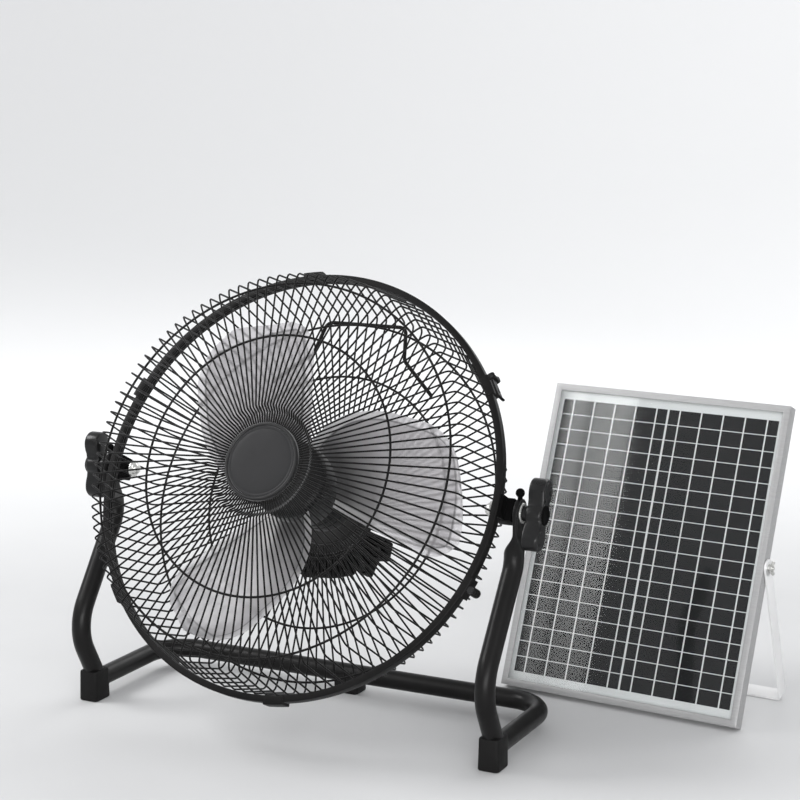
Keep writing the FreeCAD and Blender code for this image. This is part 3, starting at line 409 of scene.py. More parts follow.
# ---------------------------------------------------------------- material helpers
class Material:
    """A small node-graph writer round a Principled shader."""

    def __init__(self, name):
        self.material = bpy.data.materials.new(name)
        self.material.use_nodes = True
        self.tree = self.material.node_tree
        self.shader = self.tree.nodes["Principled BSDF"]
        self.coordinates = None

    def node(self, kind, **values):
        """Adds a node. Lower-case names are its settings, capitalised ones its inputs."""
        node = self.tree.nodes.new(kind)
        for key, value in values.items():
            if key[0].islower():
                setattr(node, key, value)
            else:
                node.inputs[key].default_value = value
        return node

    def link(self, source, target):
        self.tree.links.new(source, target)

    def feed(self, socket, value):
        """Gives an input a number, a colour or another node's output."""
        if isinstance(value, bpy.types.NodeSocket):
            self.link(value, socket)
        else:
            socket.default_value = (*value, 1) if isinstance(value, tuple) else value

    def set(self, name, value):
        self.feed(self.shader.inputs[name], value)

    def attribute(self, name):
        return self.node("ShaderNodeAttribute", attribute_name=name).outputs["Fac"]

    def noise(self, scale, detail, stretch=None):
        if not self.coordinates:
            self.coordinates = self.node("ShaderNodeTexCoord")
        source = self.coordinates.outputs["Object"]
        if stretch:
            mapping = self.node("ShaderNodeMapping", Scale=stretch)
            self.link(source, mapping.inputs["Vector"])
            source = mapping.outputs["Vector"]
        node = self.node("ShaderNodeTexNoise", Scale=scale, Detail=detail)
        self.link(source, node.inputs["Vector"])
        return node.outputs["Fac"]

    def ramp(self, factor, *stops):
        """Each stop is a position with a grey level or a colour."""
        node = self.node("ShaderNodeValToRGB")
        elements = node.color_ramp.elements
        while len(elements) < len(stops):
            elements.new(0.5)
        for element, (position, tone) in zip(elements, stops):
            element.position = position
            element.color = (*tone, 1) if isinstance(tone, tuple) else (tone, tone, tone, 1)
        self.link(factor, node.inputs["Fac"])
        return node.outputs["Color"]

    def maths(self, operation, *values, clamp=False):
        node = self.node("ShaderNodeMath", operation=operation, use_clamp=clamp)
        for socket, value in zip(node.inputs, values):
            self.feed(socket, value)
        return node.outputs[0]

    def mix(self, factor, a, b, blend="MIX"):
        node = self.node("ShaderNodeMix", data_type="RGBA", blend_type=blend)
        for index, value in ((0, factor), (6, a), (7, b)):
            self.feed(node.inputs[index], value)
        return node.outputs[2]

    def bump(self, height, strength, distance, shader=None):
        node = self.node("ShaderNodeBump", Strength=strength, Distance=distance)
        self.link(height, node.inputs["Height"])
        self.link(node.outputs["Normal"], (shader or self.shader).inputs["Normal"])

    def surface(self, shader):
        self.link(shader.outputs[0], self.tree.nodes["Material Output"].inputs["Surface"])

    def mix_surface(self, share, first, second):
        mixer = self.node("ShaderNodeMixShader")
        for socket, source in zip(mixer.inputs, (share, first.outputs[0], second.outputs[0])):
            self.link(source, socket)
        self.surface(mixer)


def coated(
    name, color, rough, vary=0.25, grain=900, bump=0.12, metallic=0.0, specular=0.5, coat=0.0
):
    """Painted or moulded surface: uneven tone and gloss over a fine grain."""
    m = Material(name)
    low = tuple(c * (1 - vary) for c in color)
    high = tuple(min(1, c * (1 + vary) + 0.0007) for c in color)
    m.set("Base Color", m.ramp(m.noise(scale=14, detail=4), (0.3, low), (0.7, high)))
    patches = m.noise(scale=60, detail=3)
    m.set("Roughness", m.ramp(patches, (0.3, rough * 0.88), (0.75, min(1, rough * 1.15))))
    m.set("Metallic", metallic)
    m.set("Specular IOR Level", specular)
    if coat:
        m.set("Coat Weight", coat)
        m.set("Coat Roughness", 0.12)
    m.bump(m.noise(scale=grain, detail=2), strength=bump, distance=0.0003)
    return m.material


def metal(name, color, rough, scale, bump, stretch=(1, 1, 1)):
    """Bare metal whose tone and gloss follow one noise, drawn out by stretch."""
    m = Material(name)
    streak = m.noise(scale, detail=3, stretch=stretch)
    low, high = (tuple(min(1, c * k) for c in color) for k in (1 - 0.12, 1 + 0.12))
    m.set("Base Color", m.ramp(streak, (0.25, low), (0.75, high)))
    m.set("Metallic", 1.0)
    m.set("Roughness", m.ramp(streak, (0.2, rough * 0.8), (0.8, rough * 1.25)))
    m.bump(streak, strength=bump, distance=0.0002)
    return m.material


# ---------------------------------------------------------------- materials
POWDER = coated("powder_black", (0.0065, 0.0062, 0.0062), rough=0.33, vary=0.3, grain=1400,
                bump=0.10, specular=0.16)
WIRE = coated("wire_black", (0.0045, 0.0043, 0.0043), rough=0.42, vary=0.3, grain=1600,
              bump=0.08, specular=0.11)
BAND = coated("band_plastic", (0.0065, 0.0062, 0.0062), rough=0.42, grain=1100,
              bump=0.10, specular=0.11)
PLASTIC = coated("moulded_black", (0.0030, 0.0029, 0.0030), rough=0.55, grain=2200,
                 bump=0.22, specular=0.02)
MOTOR = coated("motor_black", (0.0038, 0.0038, 0.0040), rough=0.45, vary=0.3, grain=1200,
               bump=0.15, specular=0.06)
KNOB = coated("knob_black", (0.0075, 0.0075, 0.0078), rough=0.3, vary=0.2,
              bump=0.05, specular=0.24, coat=0.06)
RUBBER = coated("foot_rubber", (0.0070, 0.0068, 0.0068), rough=0.6, vary=0.3, grain=1800,
                bump=0.25, specular=0.14)
CABLE = coated("cable_sheath", (0.012, 0.012, 0.013), rough=0.5, vary=0.2, grain=1500)
BADGE = coated("badge_grey", (0.022, 0.022, 0.023), rough=0.46, vary=0.12, grain=1800,
               bump=0.06, specular=0.14)
BADGE_RIM = coated("badge_rim_black", (0.009, 0.009, 0.0095), rough=0.34, vary=0.2, grain=1500,
                   bump=0.06, specular=0.25)
HUB = coated("hub_black", (0.006, 0.006, 0.0065), rough=0.38, vary=0.2, grain=1500,
             bump=0.08, specular=0.14)
BLACKENED = coated("black_oxide", (0.012, 0.012, 0.0125), rough=0.36, grain=1400,
                   bump=0.08, metallic=0.35, specular=0.35)
BOARD = coated("board_green", (0.02, 0.12, 0.05), rough=0.35, vary=0.2, grain=500, bump=0.1)
WRAP = coated("cell_wrap_blue", (0.03, 0.10, 0.28), rough=0.3, vary=0.15, grain=500, bump=0.05)
ZINC = metal("zinc_plate", (0.62, 0.62, 0.60), rough=0.28, scale=300, bump=0.06)
STEEL = metal("ground_steel", (0.55, 0.55, 0.56), rough=0.25, scale=500, bump=0.08,
              stretch=(1, 1, 12))
COPPER = metal("winding_copper", (0.62, 0.30, 0.14), rough=0.35, scale=300, bump=0.3,
               stretch=(6, 6, 1))
MAGNET = metal("magnet_grey", (0.16, 0.16, 0.17), rough=0.5, scale=200, bump=0.1)


def blade_material():
    """Smoked translucent plastic with painted shade darkening it toward the hub, and a paler and
    clearer margin.
    """
    m = Material("blade_smoke")
    margin, radius = m.attribute("margin"), m.attribute("radius")
    smoke = m.ramp(
        m.noise(scale=9, detail=3), (0.25, (0.325, 0.317, 0.322)), (0.8, (0.385, 0.376, 0.381))
    )
    # painted shade: the blade's colour is multiplied darker toward the hub
    painted_hub_shade = m.ramp(radius, (0.0, 0.07), (0.13, 0.15), (0.32, 0.56), (0.6, 0.9), (1.0, 1.0))
    web = m.mix(1.0, smoke, painted_hub_shade, blend="MULTIPLY")
    edge = m.ramp(margin, (0.0, 0.9), (0.235, 0.75), (0.25, 0.0))
    # a dark line where the margin ends
    line = m.ramp(margin, (0.205, 0.0), (0.235, 1.0), (0.262, 1.0), (0.29, 0.0))
    tone = m.mix(edge, web, (0.52, 0.512, 0.518))
    m.set("Base Color", m.mix(m.maths("MULTIPLY", line, 0.8), tone, (0.06, 0.06, 0.062)))
    m.set("Roughness", m.ramp(m.noise(scale=35, detail=2), (0.3, 0.18), (0.8, 0.27)))
    m.set("Specular IOR Level", 0.5)
    m.bump(m.noise(scale=700, detail=2), strength=0.04, distance=0.0002)
    through = m.node("ShaderNodeBsdfRefraction", Roughness=0.42, IOR=1.06)
    m.link(m.mix(edge, (0.90, 0.885, 0.90), (0.96, 0.95, 0.96)), through.inputs["Color"])
    # share of the light that comes through, held low near the hub as part of the painted shade there
    share = m.ramp(radius, (0.0, 0.10), (0.13, 0.2), (0.32, 0.40), (0.6, 0.52), (1.0, 0.60))
    share = m.maths("SUBTRACT", share, m.maths("MULTIPLY", line, 0.25))
    share = m.maths("ADD", share, m.maths("MULTIPLY", edge, 0.18), clamp=True)
    m.mix_surface(share, m.shader, through)
    return m.material


def frame_material():
    """Dull aluminium with a tone drawn into streaks."""
    m = Material("frame_aluminium")
    streak = m.noise(scale=60, detail=4, stretch=(1, 1, 30))
    tone = m.ramp(streak, (0.3, (0.325, 0.325, 0.327)), (0.75, (0.395, 0.395, 0.397)))
    m.set("Base Color", tone)
    m.set("Metallic", 0.35)
    m.set("Roughness", m.ramp(m.noise(scale=220, detail=3), (0.3, 0.34), (0.8, 0.48)))
    m.bump(m.noise(scale=900, detail=2), strength=0.05, distance=0.0002)
    return m.material


def cell_material():
    """Dark silicon with fine printed fingers across the ribbons."""
    fingers_per_cell, line_share, line_strength = 12.0, 0.14, 0.35
    m = Material("silicon_cell")
    silicon = m.ramp(
        m.noise(scale=30, detail=3), (0.3, (0.0085, 0.0082, 0.009)), (0.75, (0.0135, 0.0128, 0.014))
    )
    wave = m.maths("FRACT", m.maths("MULTIPLY", m.attribute("finger"), fingers_per_cell))
    line = m.maths("LESS_THAN", wave, line_share)
    strength = m.maths("MULTIPLY", line, line_strength)
    m.set("Base Color", m.mix(strength, silicon, (0.09, 0.09, 0.092)))
    m.set("Roughness", 0.42)
    m.set("Specular IOR Level", 0.12)
    m.bump(m.noise(scale=1500, detail=2), strength=0.05, distance=0.0001)
    return m.material


def glass_material():
    """Front glass: mostly clear, with a weak mirror on top."""
    mirror_strength = 0.36
    m = Material("panel_glass_clear")
    m.tree.nodes.remove(m.shader)
    clear = m.node("ShaderNodeBsdfTransparent", Color=(0.95, 0.96, 0.96, 1))
    gloss = m.node("ShaderNodeBsdfGlossy", Roughness=0.05)
    fresnel = m.node("ShaderNodeFresnel", IOR=1.5)
    m.bump(m.noise(scale=25, detail=2), strength=0.03, distance=0.0004, shader=gloss)
    m.mix_surface(m.maths("MULTIPLY", fresnel.outputs[0], mirror_strength), clear, gloss)
    return m.material


BLADE = blade_material()
ALUMINIUM = frame_material()
PROP_ALUMINIUM = coated("prop_aluminium", (0.80, 0.80, 0.80), rough=0.42, vary=0.05, bump=0.05,
                        metallic=0.25)
CELL = cell_material()
RIBBON = coated("tinned_ribbon", (0.74, 0.74, 0.74), rough=0.4, vary=0.05, grain=500, bump=0.05)
SHEET = coated("backsheet_white", (0.76, 0.76, 0.76), rough=0.5, vary=0.03, grain=800, bump=0.05)
GLASS = glass_material()

# ---------------------------------------------------------------- guards
WIRE_COUNT, WIRE_RADIUS = 112, 1.2
RIM_RADIUS, RIM_WIRE = 270.75, 2.4
WIRE_END = RIM_RADIUS - RIM_WIRE - WIRE_RADIUS - 0.1
REAR_OFFSET = 14.0  # rear wires run this far beside the axis
HOOP_WIRE, HOOP_OFFSET = 1.5, 2.6
LATCH_ANGLE, SPLIT_ANGLE = 32, -22
# (radius, z) along one wire, from the middle to the rim
FRONT = [
    (46.5, 93.7), (64.0, 95.5), (70.5, 104.5), (243.0, 79.4), (252.5, 75.5), (WIRE_END, 0.9)
]
REAR = [(58.5, -92.3), (240.0, -78.6), (252.5, -76.0), (WIRE_END, -0.9)]


def guard_wires(side, profile, bends, offset, turn):
    line = [Vector((sqrt(r * r - offset * offset), -offset, z)) for r, z in profile]
    wire = tube(fillet(line, bends, step=9.0), WIRE_RADIUS, 8)
    wires = Shape()
    for k in range(WIRE_COUNT):
        wires.merge(wire, spin(turn + (k + 0.5) * 360.0 / WIRE_COUNT))
    wires.build(f"guard_{side}_wires", "head", WIRE, f"{side}_guard_wires", "black_metal", 50)


def hoop(radius, z, wire, sides, count):
    angles = [2 * pi * k / count for k in range(count)]
    path = [(radius * cos(a), radius * sin(a), z) for a in angles]
    return tube(path, wire, sides, closed=True)


def guard_hoops(side, stations, inward):
    """Hoops inside the wires, and the rim hoop. Stations are (wire part's ends, radius)."""
    hoops = Shape()
    for (r0, z0), (r1, z1), radius in stations:
        run, rise = r1 - r0, z1 - z0
        shift = inward * HOOP_OFFSET / hypot(run, rise)
        z = z0 + rise / run * (radius - r0)
        hoops.merge(hoop(radius - rise * shift, z + run * shift, HOOP_WIRE, 10, 160))
    hoops.merge(hoop(RIM_RADIUS, -inward * 2.6, RIM_WIRE, 12, 220))
    hoops.build(f"guard_{side}_hoops", "head", WIRE, f"{side}_guard_hoops", "black_metal", 50)


def guard_band():
    profile = [
        (268.7, -7.2), (277, -7.2), (277, 7.2), (268.7, 7.2),
        (268.7, 5.2), (273.4, 5.2), (273.4, -5.2), (268.7, -5.2),
    ]
    ring = lathe(profile, 288, rounding=[0.6, 1.6, 1.6, 0.6, 0.4, 0.4, 0.4, 0.4])
    ring.build("guard_band_ring", "head", BAND, "guard_band", "dark_plastic", 40)


def band_clips():
    profile = [
        (270.5, -10), (280.5, -10), (280.5, 10), (270.5, 10),
        (270.5, 7.35), (277.06, 7.35), (277.06, -7.35), (270.5, -7.35),
    ]
    rounding = [0.6, 2.0, 2.0, 0.6, 0.4, 0.3, 0.3, 0.4]
    clip = lathe(profile, 8, rounding, span=(-2.7, 2.7))
    clips = Shape()
    for angle in (98, 158, 218, 278, LATCH_ANGLE, SPLIT_ANGLE):
        clips.merge(clip, spin(angle))
    # ears that hold the lever's pin
    ear = soft_outline([(279.5, 4.0), (288.4, 4.6), (288.4, 12.8), (279.5, 13.4)], 2.5)
    for z0, z1 in ((7.5, 9.6), (-9.6, -7.5)):
        clips.merge(prism(ear, z0, z1, bevel=0.4), spin(LATCH_ANGLE))
    # lug that the band screw goes through, in two halves with the split between them
    web = soft_outline([(279.5, -4.2), (284.0, -4.2), (284.0, 4.2), (279.5, 4.2)], 0.8)
    for z0, z1 in ((0.3, 9.0), (-9.0, -0.3)):
        profile = [(2.2, z0), (5.6, z0), (5.6, z1), (2.2, z1)]
        clips.merge(lathe(profile, 28, rounding=0.5, at=(286.2, 0)), spin(SPLIT_ANGLE))
        clips.merge(prism(web, z0, z1, bevel=0.4), spin(SPLIT_ANGLE))
    clips.build("band_clips", "head", BAND, "guard_clips", "dark_plastic", 40)


def latch_lever():
    arm = [
        (281.2, 8.0), (281.2, -18.5), (282.0, -21.5), (285.4, -21.5),
        (285.4, -19.4), (283.8, -18.0), (283.6, 3.0), (283.6, 8.0),
    ]
    rib = [(283.2, 2.0), (284.6, -12.0), (283.2, -12.0)]
    barrel = [(1.7, -7.3), (3.6, -7.3), (3.6, 7.3), (1.7, 7.3)]
    lever = prism(soft_outline(arm, 0.8), -7.3, 7.3, bevel=0.6)
    lever.merge(lathe(barrel, 32, rounding=0.5, at=(284.6, 8.5)))
    lever.merge(prism(soft_outline(rib, 0.3), -1.0, 1.0, bevel=0.3))
    lever = lever.moved(spin(LATCH_ANGLE))
    lever.build("latch_lever_arm", "latch", BAND, "latch_lever", "dark_plastic", 40)


def badge():
    """Plain dished plate in a bezel, with a ribbed disc behind."""
    bezel = [
        (41, 95.3), (49.4, 95.3), (49.4, 99.6), (48.2, 101.4),
        (45.9, 101.4), (44.75, 100.5), (44.75, 96.9), (41, 96.9),
    ]
    plate = [
        (0.0, 97.0), (44.6, 97.0), (44.6, 99.4), (44.2, 99.9), (43.0, 100.05), (41.6, 99.95),
        (41.0, 99.75), (40.4, 99.9), (36, 100.3), (28, 100.62), (18, 100.86), (8, 100.97),
        (0, 101.0),
    ]
    disc = [
        (0, 86.5), (51, 86.5), (51, 89.5), (40, 89.5),
        (40, 95.2), (30, 95.2), (30, 89.5), (0, 89.5),
    ]
    rim = lathe(bezel, 160, rounding=[0.3, 0.5, 1.2, 0.9, 0.7, 0.4, 0.2, 0.2])
    rim.build("badge_bezel", "head", BADGE_RIM, "badge_rim", "badge_grey", 40)
    lathe(plate, 160).build("badge_face", "head", BADGE, "badge_plate", "badge_grey", 30)
    clamp = lathe(disc, 120, rounding=[0, 0.8, 0.5, 0.5, 0.5, 0.5, 0.5, 0])
    for k in range(6):
        clamp.merge(radial_rib(8, 46, 0.8, 84.6, 86.6), spin(60 * k + 30))
    clamp.build("badge_clamp", "head", PLASTIC, "badge_backing", "black_plastic")


def carry_handle():
    half = [(117, 153, -86.1), (67, 198, -88.5), (58, 244, -92.0)]
    corners = half + [(-x, y, z) for x, y, z in reversed(half)]
    rod = tube(fillet(corners, [18, 11, 11, 18], step=6.0), 2.5, 14, dome=1.2)
    rod.build("carry_handle_rod", "head", WIRE, "carry_handle", "black_metal", 50)


guard_wires("front", FRONT, bends=[4.0, 4.0, 25.0, 9.0], offset=0.0, turn=0.0)
REAR_TURN = asin(REAR_OFFSET / 262.7) * 180 / pi
guard_wires("rear", REAR, bends=[40.0, 10.0], offset=REAR_OFFSET, turn=REAR_TURN)
guard_hoops("front", [(*FRONT[:2], 48.0), (*FRONT[2:4], 166.0), (*FRONT[2:4], 238.4)], inward=-1)
guard_hoops("rear", [(*REAR[:2], radius) for radius in (76.0, 168.0, 238.0)], inward=1)
guard_band()
band_clips()
latch_lever()
badge()
carry_handle()

# ---------------------------------------------------------------- impeller
BLADE_ROOT, BLADE_TIP = 47.8, 229.0
REAR_EDGE_Z, FRONT_EDGE_Z = -22.0, 20.0
# (radius, angle in degrees) along a blade's front and rear edges
FRONT_EDGE = [
    (47.5, 73.0), (82, 64.5), (106, 57), (126, 49.5), (150, 40.5), (168, 34), (186, 29),
    (200, 25), (212, 20), (222, 13.5), (229, 4),
]
REAR_EDGE = [
    (47.5, -24.0), (104, -22), (148, -21), (183, -20.5), (205, -19), (218, -16.5), (229, -12)
]


def curve_at(table, x):
    """Height at x of a smooth curve through (x, y) rows."""
    xs, ys = zip(*table)
    last = len(xs) - 1
    spans = [(ys[i + 1] - ys[i]) / (xs[i + 1] - xs[i]) for i in range(last)]
    slopes = [spans[0]] + [(p + q) / 2 for p, q in zip(spans, spans[1:])] + [spans[-1]]
    i = next(i for i in range(last) if x <= xs[i + 1] + 1e-9)
    width = xs[i + 1] - xs[i]
    u = (x - xs[i]) / width
    ends = (1 + 2 * u) * (1 - u) ** 2 * ys[i] + u * u * (3 - 2 * u) * ys[i + 1]
    return ends + width * (u * (1 - u) ** 2 * slopes[i] + u * u * (u - 1) * slopes[i + 1])


def blade_shape():
    """Front and rear skins joined round the edge.

    Also returns two values per point for the material: the distance in from the margin, and
    the radius.
    """
    rows, columns = 46, 40
    middle, stations = [], []
    for i in range(rows + 1):
        r = BLADE_ROOT + (BLADE_TIP - BLADE_ROOT) * (1 - (1 - i / rows) ** 1.35)
        start, end = curve_at(REAR_EDGE, r), curve_at(FRONT_EDGE, r)
        front_z = FRONT_EDGE_Z if r > 90 else FRONT_EDGE_Z - 3 * (90 - r) / 42.5
        width = hypot(r * radians(end - start), FRONT_EDGE_Z - REAR_EDGE_Z)
        middle.append([])
        stations.append([])
        for k in range(columns + 1):
            u = k / columns
            angle = radians(start + (end - start) * u)
            z = REAR_EDGE_Z + (front_z - REAR_EDGE_Z) * u - 5.5 * 4 * u * (1 - u)
            middle[i].append(Vector((r * cos(angle), r * sin(angle), z)))
            stations[i].append((r, min(min(u, 1 - u) * width, BLADE_TIP - r)))
    front, rear, margin, radius = [], [], [], []
    for i in range(rows + 1):
        for k in range(columns + 1):
            across = middle[i][min(k + 1, columns)] - middle[i][max(k - 1, 0)]
            outward = middle[min(i + 1, rows)][k] - middle[max(i - 1, 0)][k]
            normal = outward.cross(across).normalized()
            if normal.z < 0:
                normal = -normal
            r, inside = stations[i][k]
            half = 0.95 + 0.25 * max(0, 1 - (r - 48) / 180)
            half *= 0.45 + 0.55 * min(1, inside / 1.6)
            # the margin stands a little proud of the front skin
            step = 0.32 * max(0.0, min(1.0, (12.5 - inside) / 1.6)) if r > 62 else 0.0
            front.append(middle[i][k] + normal * (half + step))
            rear.append(middle[i][k] - normal * half)
            margin.append(min(1.0, inside / 50.0))
            radius.append(min(1.0, (r - 48) / 130.0))
    shape = Shape()
    shape.add(front)
    back = shape.add(rear)
    w = columns + 1
    for i in range(rows):
        for k in range(columns):
            a = i * w + k
            quad = (a, a + 1, a + w + 1, a + w)
            shape.faces.append(quad)
            shape.faces.append(tuple(back + x for x in reversed(quad)))
    rim = [i * w for i in range(rows)] + [rows * w + k for k in range(columns)]
    rim += [i * w + columns for i in range(rows, 0, -1)] + list(range(columns, 0, -1))
    for a, b in zip(rim, rim[1:] + rim[:1]):
        shape.faces.append((a, b, back + b, back + a))
    return shape, margin * 2, radius * 2


def impeller():
    blade, margin, radius = blade_shape()
    blades = Shape()
    for k in range(3):
        blades.merge(blade, spin(120 * k))
    blades.build(
        "fan_blades", "rotor", BLADE, None, "blade_grey", 50, margin=margin * 3, radius=radius * 3
    )
    profile = [
        (4.05, -14), (11, -14), (11, 21), (46.5, 21), (46.5, -26), (50, -26),
        (50, 19), (48, 24), (43, 27), (18, 29), (4.05, 29),
    ]
    hub = lathe(profile, 144, rounding=[0.3, 0.5, 1.0, 1.5, 0.6, 0.8, 2.0, 2.0, 2.0, 1.0, 0.3])
    for k in range(6):
        hub.merge(radial_rib(10.5, 46.8, 1.1, 2.0, 21.4), spin(60 * k))
    hub.build("fan_hub", "rotor", HUB, "impeller", "blade_grey")


def hub_nut():
    profile = [(4.03, 29.05), (17, 29.05), (17, 33), (12, 39), (0, 40.5), (0, 36.5), (4.03, 36.5)]
    nut = lathe(profile, 72, rounding=[0.3, 0.6, 1.2, 1.5, 0, 0, 0.3])
    ridge = prism([(16.2, -1.2), (18.2, -0.9), (18.2, 0.9), (16.2, 1.2)], 29.2, 34.2, bevel=0.4)
    for k in range(12):
        nut.merge(ridge, spin(30 * k))
    nut.build("hub_nut", "rotor", PLASTIC, "blade_nut", "black_plastic")


impeller()
hub_nut()

# ---------------------------------------------------------------- motor and housing
COVER_Z = -127.0  # rear rim of the housing
# (x, y) outlines seen along the rotor axis
HOUSING = [
    (-48, -22), (-36, -56), (-32.5, -66), (-33, -79), (-37, -91), (-27, -94.5), (14, -91),
    (42, -83), (46, -58), (50, -20), (44, 26), (20, 48), (-20, 48), (-44, 26),
]
POD = [(46.06, -58), (49.65, -24), (88, -36.5), (88.5, -60.5), (73.5, -62), (68.5, -84), (60, -84)]


def motor():
    plate = [(9, -97.2), (68, -97.2), (68, -93.6), (56, -93.6), (56, -90.1), (9, -90.1)]
    plate = lathe(plate, 160, rounding=[0.3, 1.2, 1.0, 0.5, 1.0, 0.3])
    plate.build("rear_mount_plate", "head", POWDER, "motor_mount_plate", "black_metal")
    can = [
        (6, -90.05), (40, -90.05), (40, -34), (37.5, -34), (37.5, -87),
        (14, -87), (14, -79.9), (11.02, -79.9), (11.02, -87), (6, -87),
    ]
    can = lathe(can, 120, rounding=[0.3, 2.5, 0.3, 0.2, 0.5, 0.3, 0.3, 0.2, 0.2, 0.2])
    for z in (-60, -74):
        ridge = [(39.9, z), (40.6, z + 0.4), (40.6, z + 2.6), (39.9, z + 3)]
        can.merge(lathe(ridge, 120, rounding=0.2))
    can.build("motor_shell", "head", MOTOR, "motor_can", "steel")
    cap = [
        (6, -30), (40, -30), (40, -33.95), (37.4, -33.95), (37.4, -37),
        (14, -37), (14, -44), (11.02, -44), (11.02, -36.9), (6, -36.9),
    ]
    cap = lathe(cap, 120, rounding=[0.4, 1.6, 0.3, 0.2, 0.3, 0.3, 0.3, 0.2, 0.2, 0.3])
    cap.build("motor_front_cap", "head", MOTOR, "motor_end_cap", "steel")


def housing():
    outline = soft_outline(HOUSING, 5.0, 4)
    body = tray(outline, side_wall=2.5, z_open=COVER_Z, z_shut=-97.25, floor=2.5, rounding=1.6)
    body.build("control_housing", "head", PLASTIC, "rear_housing", "black_plastic", 30)
    cover = prism(outline, COVER_Z - 2.5, COVER_Z - 0.05, bevel=1.2, segments=3, top=False)
    cover.build("housing_back_cover", "head", PLASTIC, "housing_cover", "black_plastic", 30)
    outline = soft_outline(POD, 3.0, 4)
    pod = tray(outline, side_wall=2.2, z_open=-104.0, z_shut=COVER_Z, floor=2.5, rounding=1.4)
    pod.build("port_pod_shell", "head", PLASTIC, "port_pod", "black_plastic", 30)


def dc_socket():
    at = (68, -50)
    profile = [(2.75, -128.5), (6.0, -128.5), (6.0, -113.5), (0, -113.5), (0, -118), (2.75, -118)]
    pin = [(0, -118), (1.05, -118), (1.05, -125.6), (0.7, -126), (0, -126)]
    barrel = lathe(profile, 48, rounding=[0.5, 0.8, 0.5, 0, 0, 0], at=at)
    barrel.merge(lathe(pin, 20, at=at))
    barrel.build("dc_socket_barrel", "head", PLASTIC, "dc_socket", "black_plastic")


def button(kind, x):
    profile = [
        (0, -131.6), (4.6, -131.9), (6.0, -131.5), (6.0, -126.9),
        (7.5, -126.9), (7.5, -125.5), (0, -125.5),
    ]
    cap = lathe(profile, 56, rounding=[0, 0.6, 0.6, 0.2, 0.3, 0.3, 0], at=(x, -72))
    cap.build(f"{kind}_button_cap", f"{kind}_button", RUBBER, f"button_{kind}", "black_plastic")


def cover_screws():
    radius, height, seat = 3.2, 2.1, -129.55
    # (radius, height above the seat)
    head = [
        (0, 0), (1.6, 0), (radius, 0), (radius, 0.35 * height),
        (radius * 0.86, 0.72 * height), (radius * 0.55, 0.95 * height), (0, height),
    ]
    shank = [(0, -117.2), (0.5, -117.2), (1.55, -119), (1.55, -129.6), (0, -129.6)]
    screws = Shape()
    for at in ((-24, -86), (33, -77), (36, 20), (-35, 20)):
        screws.merge(lathe([(r, seat - rise) for r, rise in head], 28, at=at))
        screws.merge(lathe(shank, 20, at=at))
    screws.build("housing_cover_screws", "head", ZINC, "housing_screws", "zinc")


motor()
housing()
dc_socket()
button("power", -10)
button("speed", 16)
cover_screws()

# ---------------------------------------------------------------- tilt pivots
PIVOT_BACK = 23.5  # the tilt axis behind the head's origin
AT_PIVOT = move(0, 0, -PIVOT_BACK)
LOBE_REACH, LOBE_RADIUS = 29.5, 15.0
WAIST_HALF, MIDDLE_RADIUS = 10.5, 13.8


def pivot_lathe(profile, sides, rounding=0):
    """Turned round the tilt axis, with heights along x."""
    return lathe(profile, sides, rounding, axis="X").moved(AT_PIVOT)


def pivot_ring(inner, outer, x0, x1, rounding, sides=64):
    return pivot_lathe([(inner, x0), (outer, x0), (outer, x1), (inner, x1)], sides, rounding)


def pivot_hardware():
    to_pivot = AT_PIVOT @ Z_TO_X
    block = prism(rounded_rect(-14, 14, -15, 15, 2.6, 4), 268.5, 290.0, bevel=0.9, segments=3)
    block.merge(prism(rounded_rect(-14, 14, 13.5, 29.5, 1.0, 3), 277.15, 281.0, bevel=0.5))
    block = block.moved(to_pivot)
    block.merge(pivot_ring(4.2, 5.5, 258.98, 269, 0.4, sides=40))
    for y in (-8.0, 8.0):
        rib = prism(rounded_rect(y - 1.2, y + 1.2, -9, 9, 1.0, 3), 268.0, 268.8, bevel=0.2)
        block.merge(rib, to_pivot)
    block.paired().build("pivot_block_pair", "head", PLASTIC, "pivot_blocks", "black_plastic")
    washers = pivot_ring(4.15, 14, 290.04, 290.96, 0.25).paired()
    washers.build("pivot_friction_washers", "head", RUBBER, "friction_washers", "rubber")
    washers = pivot_ring(4.12, 11, 256.3, 258.9, 0.4)
    washers.merge(pivot_ring(4.12, 12.5, 297.04, 299.04, 0.4))
    washers.paired().build("pivot_plain_washers", "head", ZINC, "pivot_washers", "zinc")
    profile = [
        (0, 248.85), (3.2, 249.35), (5.8, 250.7), (7.6, 252.9), (8.2, 254.4),
        (8.2, 256.25), (4.0, 256.25), (4.0, 315.2), (3.2, 316), (0, 316),
    ]
    bolts = pivot_lathe(profile, 48).paired()
    bolts.build("pivot_carriage_bolts", "head", ZINC, "pivot_bolts", "zinc", 40)


def knob_radii(steps):
    """Two round lobes joined by a waist, as radii round the tilt axis."""
    sharp = []
    for k in range(steps):
        angle = 2 * pi * k / steps
        c, s = abs(cos(angle)), abs(sin(angle))
        r = MIDDLE_RADIUS
        if s < LOBE_RADIUS / LOBE_REACH:
            r = max(r, LOBE_REACH * c + sqrt(LOBE_RADIUS**2 - (LOBE_REACH * s) ** 2))
        if WAIST_HALF * c < LOBE_REACH * s:
            r = max(r, WAIST_HALF / s)
        sharp.append(r)
    # neighbours are averaged to ease the inner corners
    weights = (1, 3, 6, 8, 6, 3, 1)
    out = []
    for k in range(steps):
        near = sum(sharp[(k + d - 3) % steps] * weight for d, weight in enumerate(weights)) / 28.0
        out.append(min(near, sharp[k] + 1.0))
    return out


